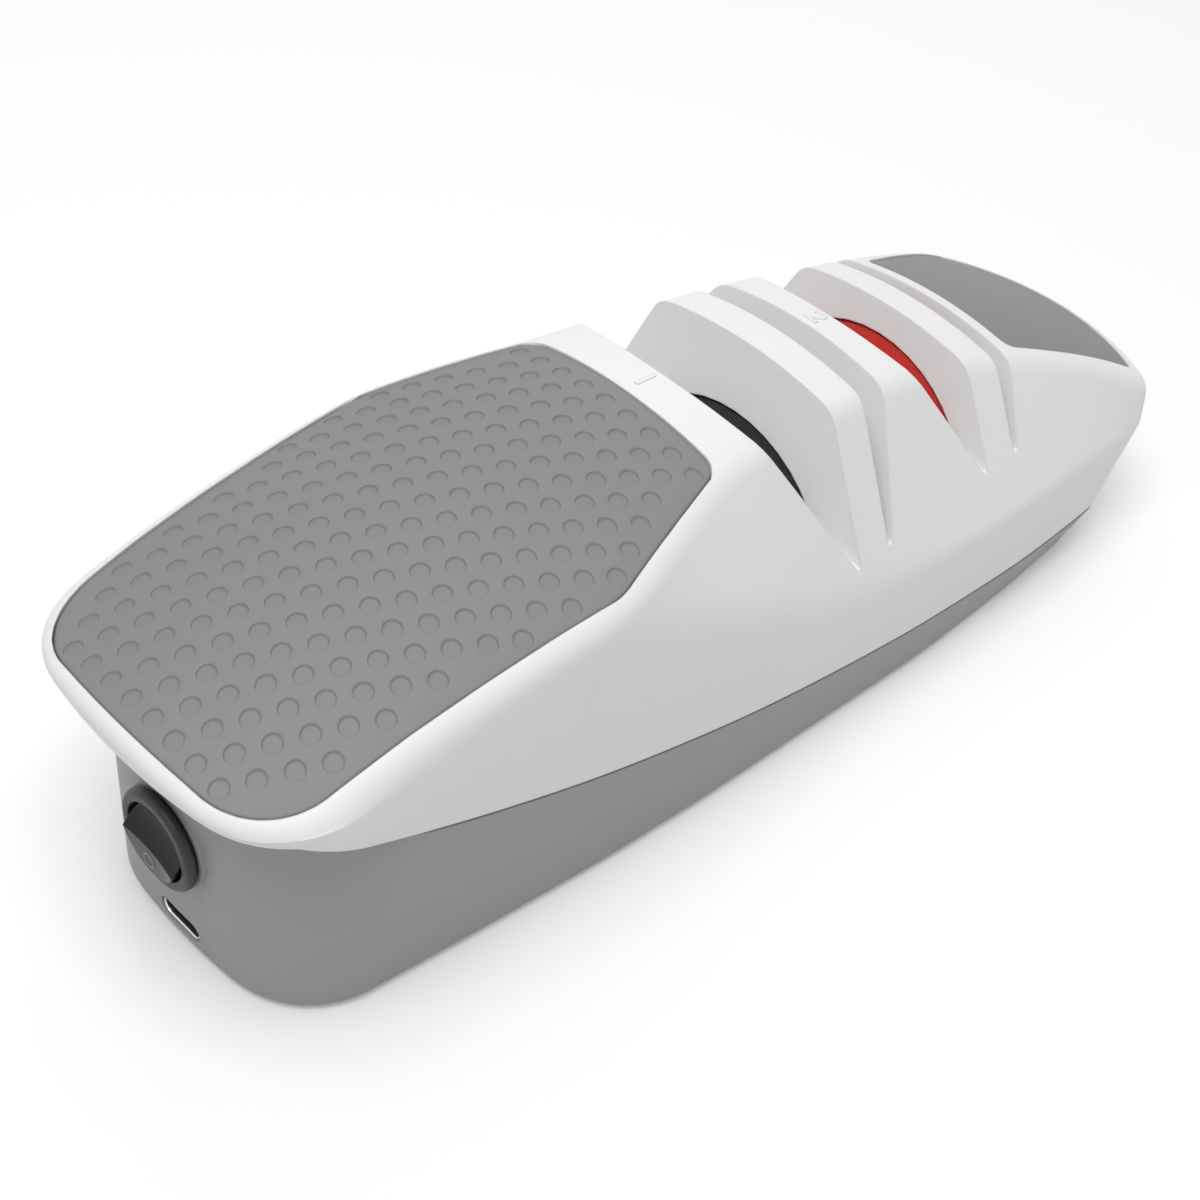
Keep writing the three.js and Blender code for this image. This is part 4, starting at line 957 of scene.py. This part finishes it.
def wheel_profile(fin):
    """A double cone with a narrow rim: foot, cone, rim, cone, foot and bore."""
    near, far = fin + RIM_NEAR, fin + RIM_FAR
    reach = WHEEL_RADIUS - WHEEL_FOOT
    bulge = reach * math.tan(math.radians(CONE_ANGLE))
    slope = Vector((bulge, reach)).normalized() * WHEEL_EDGE
    foot, radius = WHEEL_FOOT, WHEEL_RADIUS
    half = [
        (bulge, WHEEL_BORE), (bulge, foot - WHEEL_EDGE), (bulge - slope.x, foot + slope.y),
        (slope.x, radius - slope.y), (slope.x / 3, radius - slope.y / 4), (-WHEEL_EDGE, radius),
    ]
    profile = [(near - out, level) for out, level in half]
    profile += [(far + out, level) for out, level in half[::-1]]
    return profile + profile[:1]


class SHARPENER_OT_wheels(bpy.types.Operator):
    """Builds the two double cone wheels and dresses the drive line"""
    bl_idname = "sharpener.wheels"
    bl_label = "Wheels and drive line"

    def execute(self, context):
        colours = context.scene.sharpener_colours
        # Fine alumina in a black resin bond: near black with tiny grey flecks
        fine = grit("abrasive_resin_bonded_black", colours.fine_grit, linear("3a3a3b"), 0.25, 0.03, 0.6)
        # Coarser alumina in a red ceramic bond: bright red with faint grains
        coarse = grit("abrasive_ceramic_bonded_red", colours.coarse_grit, linear("d23c2d"), 0.25, 0.02, 0.4)
        for node, fin, material, slot in (
            ("fine_wheel", FINE_FIN, fine, "black_abrasive"),
            ("coarse_wheel", COARSE_FIN, coarse, "red_abrasive"),
        ):
            profile, middle = wheel_profile(fin), (0, 0, WHEEL_HEIGHT)
            wheel = turned(node + "_skin", profile, middle, (1, 0, 0), 144, material, "drive_line", 30)
            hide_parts(node)
        # Glass filled nylon, moulded: a dull black hub
        nylon = moulded("PA66_glass_filled_black", linear("1b1b1c"), 0.45, 0.3, 0.02, 0.05)
        dress(nylon, "fine_hub", "coarse_hub")
        # Ground steel: bright with fine marks around the bar
        ground = metal("steel_ground_bright", linear("c4c6c8"), 0.22, 3.0, 0.12)
        dress(ground, "drive_shaft", "shaft_clip", "motor_shaft")
        # Turned zinc alloy: grey with tool marks
        turned_zinc = metal("zinc_alloy_turned", linear("a9adb0"), 0.4, 3.0, 0.2)
        dress(turned_zinc, "spacer_sleeve", "thrust_collar", "motor_coupling", "shaft_coupling")
        # Polyurethane, cast: warm amber and slightly shiny
        dress(moulded("PU_cast_amber", linear("c98a2b"), 0.35, 0.6, 0.01, 0.08), "coupling_spider")
        return {"FINISHED"}


# Switch and socket, in mm

SWITCH_FRONT, SWITCH_HEIGHT, SWITCH_TURN = -101.933, 24.5, math.radians(7)
SEAT_DEPTH, SEAT_RADIUS = 12, 8.8
WELL, FLANGE, BARREL, BEZEL_BACK, FLANGE_ROUND = 6.4, 8.3, 7.3, 13.0, 0.9
PIN_X, ROCKER_FRONT = -100.933, -103.183
BALL, ROCKER_RADIUS, ROCKER_BACK, RIDGE = 6.1, 6.0, 5.75, -1.2
# The rocker's face: how deep it is dished, and how far it falls below and above the ridge
DISH, LOWER_DISH, LOWER_FALL, UPPER_FALL, UPPER_BEND = 0.55, 0.7, 0.4, 3.0, 2.2
ROCKER_COLUMNS, RIDGE_ROUND = 24, 0.1
OFF_MARK, OFF_INNER, OFF_OUTER = -3.7, 1.05, 1.3
SOCKET_HALF_WIDTH, SOCKET_HALF_HEIGHT, SOCKET_HEIGHT = 4.47, 1.63, 5.1
SOCKET_FRONT, SOCKET_DEPTH = -98.717 + 0.3, 8.6


def bezel_profile():
    """Section of the bezel from the well's floor over the flange to the back of the barrel."""
    points = [(11.2, 0), (11.2, WELL), (0.3, WELL), (0.09, WELL + 0.06), (0, WELL + 0.25)]
    points += [(along, FLANGE - sunk) for along, sunk in quarter(FLANGE_ROUND, range(0, 91, 15))]
    return points + [
        (1.35, FLANGE), (1.8, FLANGE - 0.4), (1.8, BARREL), (BEZEL_BACK, BARREL), (BEZEL_BACK, 0),
    ]


def on_switch(u, v, x):
    """A place on the switch, which is turned a little in its seat."""
    y, z = Matrix.Rotation(SWITCH_TURN, 2) @ Vector((u, v))
    return Vector((x, y, z + SWITCH_HEIGHT))


def rocker_face(u, v):
    """How far along the body the rocker's face lies: a proud crest, hollow above and nearly flat below."""
    across = 1 - (u / BALL) ** 2
    if v < RIDGE:
        fall = (RIDGE - v) / (BALL + RIDGE)
        return ROCKER_FRONT + DISH * across * (1 - LOWER_DISH * fall) + LOWER_FALL * fall
    fall = (v - RIDGE) / (BALL - RIDGE)
    return ROCKER_FRONT + DISH * across * (1 - fall) + UPPER_FALL * (1 - (1 - fall) ** UPPER_BEND)


def rocker_mesh(name, material):
    """Rows run across the rocker, close together at the ridge, and end on its round side."""
    levels = [ROCKER_RADIUS * math.sin(math.radians(a)) for a in range(-88, 89, 4)]
    levels = sorted(levels + [RIDGE - RIDGE_ROUND, RIDGE, RIDGE + RIDGE_ROUND])
    rows, columns = len(levels), ROCKER_COLUMNS
    wide = columns + 1

    def spot(r, i):
        v = levels[r]
        return math.sqrt(ROCKER_RADIUS ** 2 - v * v) * (1 - 2 * i / columns), v

    points, faces = [], []
    for r in range(rows):
        for i in range(wide):
            u, v = spot(r, i)
            u *= 1 - 0.08 / ROCKER_RADIUS
            points.append(on_switch(u, v, rocker_face(u, v) + (0.02 if v == RIDGE else 0)))
    for a in range((rows - 1) * wide):
        if a % wide < columns:
            faces.append((a, a + 1, a + 1 + wide, a + wide))
    border = [(r, 0) for r in range(rows)] + [(rows - 1, i) for i in range(1, columns)]
    border += [(r, columns) for r in range(rows - 1, -1, -1)] + [(0, i) for i in range(columns - 1, 0, -1)]
    base = len(points)
    points += [points[r * wide + i] for r, i in border]
    # The side begins a little behind the face, runs back past the pin and ends in a chamfer
    for scale, back in ((1.0, None), (1.0, PIN_X + 1.0), (ROCKER_BACK / ROCKER_RADIUS, PIN_X + 2.0)):
        for u, v in (spot(r, i) for r, i in border):
            points.append(on_switch(u * scale, v * scale, back or rocker_face(u, v) + 0.1))
    faces += ring_faces(4, len(border), base)
    faces.append(tuple(range(len(points) - len(border), len(points))))
    return mesh_object(name, points, faces, material, "rocker", 32)


def rocker_mark(name, inner, outer, material):
    """A thin raised mark on the rocker: a closed strip between an inner and an outer outline."""
    low, high = 0.05, -0.07
    points = []
    for outline, sunk in ((outer, low), (outer, high), (inner, high), (inner, low), (outer, low)):
        points += [on_switch(u, v, rocker_face(u, v) + sunk) for u, v in outline]
    return mesh_object(name, points, ring_faces(5, len(inner)), material, "rocker", 50)


def ring_outline(radius, steps=40):
    turns = [2 * math.pi * step / steps for step in range(steps)]
    return [(radius * math.cos(turn), OFF_MARK + radius * math.sin(turn)) for turn in turns]


def stadium_rings(name, profile, material, steps=16):
    """A closed form with stadium rings: profile is a list of (along, drawn in) in mm."""
    points = []
    for along, drawn_in in profile:
        radius = SOCKET_HALF_HEIGHT - drawn_in
        for side in (1, -1):
            for step in range(steps + 1):
                angle = math.pi * step / steps - math.pi / 2
                y = side * (SOCKET_HALF_WIDTH - SOCKET_HALF_HEIGHT + radius * math.cos(angle))
                points.append((SOCKET_FRONT + along, y, SOCKET_HEIGHT + side * radius * math.sin(angle)))
    count = 2 * (steps + 1)
    faces = ring_faces(len(profile), count)
    faces += [tuple(range(count)), tuple(range(len(points) - count, len(points)))]
    return mesh_object(name, points, faces, material, "housing", 35)


class SHARPENER_OT_switch(bpy.types.Operator):
    """Builds the switch bezel and the dished rocker with its mark"""
    bl_idname = "sharpener.switch"
    bl_label = "Switch"

    def execute(self, context):
        colours = context.scene.sharpener_colours
        # Nylon moulded in a matt tool: dark grey ring
        matt = moulded("PA66_moulded_matt_dark", colours.bezel, 0.45, 0.3, 0.01, 0.03, 0.2 * MM)
        # Nylon moulded in a polished tool: gloss black that mirrors the room
        gloss = moulded("PA66_moulded_gloss_black", colours.rocker, 0.24, 0.5, 0.002, 0.03, 0.15 * MM, 1.38)
        seat = (SWITCH_FRONT, 0, SWITCH_HEIGHT)
        bezel = turned("bezel_skin", bezel_profile(), seat, (1, 0, 0), 96, matt, "housing", 30)
        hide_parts("switch_bezel")
        rocker = rocker_mesh("rocker_skin", gloss)
        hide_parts("switch_rocker")
        # Pad printed ink: a pale dull ring for off, below the ridge
        print_grey = moulded("ink_pad_printed_grey", linear("8c8c8c"), 0.5, 0.2, 0.002, 0.03)
        ring = rocker_mark("rocker_off_ring", ring_outline(OFF_INNER), ring_outline(OFF_OUTER), print_grey)
        # Brass strip, stamped: bright yellow blades
        brass = metal("brass_stamped", linear("c9a450"), 0.3, 2.0, 0.3)
        dress(brass, "switch_terminal_upper", "switch_terminal_lower")
        return {"FINISHED"}


class SHARPENER_OT_socket(bpy.types.Operator):
    """Builds the charging socket's shell and a black sleeve with a back face in it: the back face stands for
    the tongue, and the sleeve is painted shade on the shell's steel inner walls
    """
    bl_idname = "sharpener.socket"
    bl_label = "Charging socket"

    def execute(self, context):
        # Nickel plated steel, drawn: a bright oval rim
        nickel = metal("steel_nickel_plated_drawn", linear("e6e6e4"), 0.2, 0.5, 3.0)
        shell = stadium_rings("socket_skin", [
            (SOCKET_DEPTH - 0.7, 0.24), (0.08, 0.24), (0.02, 0.2), (0, 0.14),
            (0, 0.1), (0.02, 0.04), (0.08, 0), (SOCKET_DEPTH, 0),
        ], nickel)
        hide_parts("charge_socket")
        # Liquid crystal polymer, moulded: flat black. The back face is the tongue's own black; the sleeve
        # along the shell's inner walls is painted shade, since those steel walls are only in shadow
        polymer = moulded("LCP_black_and_painted_shade", linear("19191a"), 0.5, 0.3, 0.005, 0.03)
        shade_lining = stadium_rings("tongue_face_and_shade_sleeve", [
            (3.2, 1.25), (3.2, 0.5), (0.4, 0.45), (0.25, 0.4), (0.22, 0.34), (0.25, 0.27), (7.2, 0.27),
        ], polymer)
        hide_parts("socket_tongue")
        return {"FINISHED"}


# Inside

class SHARPENER_OT_inside(bpy.types.Operator):
    """Dresses the motor, cells, board and bearings"""
    bl_idname = "sharpener.inside"
    bl_label = "Inside"

    def execute(self, context):
        # Sintered bronze: warm and porous
        bronze = metal("bronze_sintered", linear("a9793f"), 0.5, 0.4, 0.4)
        # Zinc plated steel: cool and even
        zinc = metal("steel_zinc_plated_drawn", linear("a9adb0"), 0.38, 0.6, 12.0)
        # Nickel strip, rolled: a warm grey sheen
        strip = metal("nickel_rolled_strip", linear("bfb9ac"), 0.3, 0.3, 6.0)
        # PVC shrink film: smooth and glossy over the cell
        film = moulded("PVC_shrink_film_blue", linear("2f6f8f"), 0.25, 3.0, 0.02, 0.04)
        # Glass epoxy with solder mask: deep green, faint weave
        board = moulded("FR4_solder_mask_green", linear("1f5b3a"), 0.35, 0.8, 0.02, 0.06)
        # Epoxy moulding compound: dull black
        epoxy = moulded("epoxy_moulded_black", linear("1b1b1c"), 0.55, 0.2, 0.01, 0.04)
        # Pressed ferrite: dark grey and dull
        ferrite = moulded("ferrite_pressed_grey", linear("47494a"), 0.6, 0.2, 0.02, 0.05)
        dress(bronze, "near_bush", "far_bush")
        dress(zinc, "motor_can", "motor_screw_upper", "motor_screw_lower")
        dress(zinc, *(f"{end}_cap_screw_{side}" for end in ("near", "far") for side in ("left", "right")))
        dress(strip, "cell_link")
        dress(film, "left_cell", "right_cell")
        dress(board, "control_board")
        dress(epoxy, "motor_end_bell", "charge_chip")
        dress(ferrite, "board_coil")
        return {"FINISHED"}


# Stage: colours of the floor, where its own light rises, and the camera that fits the photograph

FLOOR_SEEN, FLOOR_LIGHT = linear("f2f2f2"), linear("dadada")
LIFT_FROM, LIFT_TO, LIFT_LOW = 0.3, 1.2, 0.17
AIM = Vector((0, 0, 0.03))
LENS, SENSOR = 64.6, 36
CAMERA_PLACE = Vector((-207.25, -176.8, 257.9))
CAMERA_AHEAD, CAMERA_RIGHT = Vector((0.5454, 0.5015, -0.6715)), Vector((0.7249, -0.6845, 0.0776))


class SHARPENER_OT_stage(bpy.types.Operator):
    """Sets the floor, the lamps, the world and the camera"""
    bl_idname = "sharpener.stage"
    bl_label = "Stage"

    def execute(self, context):
        scene = context.scene
        scene.view_settings.view_transform = "Standard"
        self.floor(scene)
        self.world(scene)
        self.lamp(scene, "key_softbox", (-0.25, -0.12, 0.93), 0.6, 5.4)
        self.lamp(scene, "fill_softbox", (0.45, 0.5, 0.7), 0.8, 1.0)
        self.camera(scene)
        return {"FINISHED"}

    def floor(self, scene):
        mesh = bpy.data.meshes.new("floor")
        mesh.from_pydata([(-3, -3, 0), (3, -3, 0), (3, 3, 0), (-3, 3, 0)], [], [(0, 1, 2, 3)])
        floor = bpy.data.objects.new("floor", mesh)
        scene.collection.objects.link(floor)
        # Matt painted board: pale, and white where the lens looks past the object
        paint, shader = fresh_material("paint_matt_white", FLOOR_SEEN, 0.9)
        seen = seen_directly(paint)
        # The floor sends less light back to the object than the lens sees of it
        board = add_node(paint, "ShaderNodeMix", {
            "Factor": seen, "A": (*FLOOR_LIGHT, 1), "B": (*FLOOR_SEEN, 1),
        }, data_type="RGBA")
        feed(shader, "Base Color", board.outputs["Result"])
        # Its own light, for the lens alone, rises away from the lamps, so it is white to the horizon
        place = add_node(paint, "ShaderNodeTexCoord").outputs["Object"]
        away = add_node(paint, "ShaderNodeVectorMath", {0: place}, operation="LENGTH")
        share = add_node(paint, "ShaderNodeMapRange", {
            "Value": away.outputs["Value"], "From Min": LIFT_FROM, "From Max": LIFT_TO,
            "To Min": LIFT_LOW, "To Max": 1.0,
        })
        lift = add_node(paint, "ShaderNodeMath", {0: seen, 1: share.outputs["Result"]}, operation="MULTIPLY")
        shader.inputs["Emission Color"].default_value = (1, 1, 1, 1)
        feed(shader, "Emission Strength", lift.outputs["Value"])
        mesh.materials.append(paint)

    def world(self, scene):
        world = bpy.data.worlds.new("studio")
        world.use_nodes = True
        scene.world = world
        back = world.node_tree.nodes["Background"]
        back.inputs["Color"].default_value = (1, 1, 1, 1)
        strength = add_node(world, "ShaderNodeMapRange", {
            "Value": seen_directly(world), "To Min": 0.4, "To Max": 1.0,
        })
        feed(back, "Strength", strength.outputs["Result"])

    def lamp(self, scene, name, place, size, power):
        light = bpy.data.lights.new(name, "AREA")
        light.shape = "SQUARE"
        light.size = size
        light.energy = power
        lamp = bpy.data.objects.new(name, light)
        lamp.location = place
        lamp.rotation_euler = (AIM - Vector(place)).to_track_quat("-Z", "Y").to_euler()
        scene.collection.objects.link(lamp)

    def camera(self, scene):
        data = bpy.data.cameras.new("camera")
        data.lens = LENS
        data.sensor_width = SENSOR
        camera = bpy.data.objects.new("camera", data)
        ahead = CAMERA_AHEAD.normalized()
        right = (CAMERA_RIGHT - ahead * CAMERA_RIGHT.dot(ahead)).normalized()
        up = right.cross(ahead)
        turn = Matrix((right, up, -ahead)).transposed().to_4x4()
        camera.matrix_world = Matrix.Translation(CAMERA_PLACE * MM) @ turn
        scene.collection.objects.link(camera)
        scene.camera = camera


class SHARPENER_PT_panel(bpy.types.Panel):
    """Lists the sizes, the colours and the pieces"""
    bl_idname = "SHARPENER_PT_panel"
    bl_label = "Knife sharpener"
    bl_space_type = "VIEW_3D"
    bl_region_type = "UI"
    bl_category = "Sharpener"

    def draw(self, context):
        for group in (context.scene.sharpener_sizes, context.scene.sharpener_colours):
            box = self.layout.box()
            for key in group.__annotations__:
                box.prop(group, key)
        for operator in OPERATORS:
            self.layout.operator(operator.bl_idname)


OPERATORS = (
    SHARPENER_OT_stage, SHARPENER_OT_shell, SHARPENER_OT_casing, SHARPENER_OT_pads, SHARPENER_OT_wheels,
    SHARPENER_OT_switch, SHARPENER_OT_socket, SHARPENER_OT_inside,
)
CLASSES = (SharpenerSizes, SharpenerColours, *OPERATORS, SHARPENER_PT_panel)


def register():
    for item in CLASSES:
        bpy.utils.register_class(item)
    bpy.types.Scene.sharpener_sizes = PointerProperty(type=SharpenerSizes)
    bpy.types.Scene.sharpener_colours = PointerProperty(type=SharpenerColours)


def unregister():
    del bpy.types.Scene.sharpener_colours
    del bpy.types.Scene.sharpener_sizes
    for item in reversed(CLASSES):
        bpy.utils.unregister_class(item)


def main():
    register()
    bpy.ops.sharpener.stage()
    bpy.ops.sharpener.shell()
    bpy.ops.sharpener.casing()
    bpy.ops.sharpener.pads()
    bpy.ops.sharpener.wheels()
    bpy.ops.sharpener.switch()
    bpy.ops.sharpener.socket()
    bpy.ops.sharpener.inside()


if __name__ == "__main__":
    main()
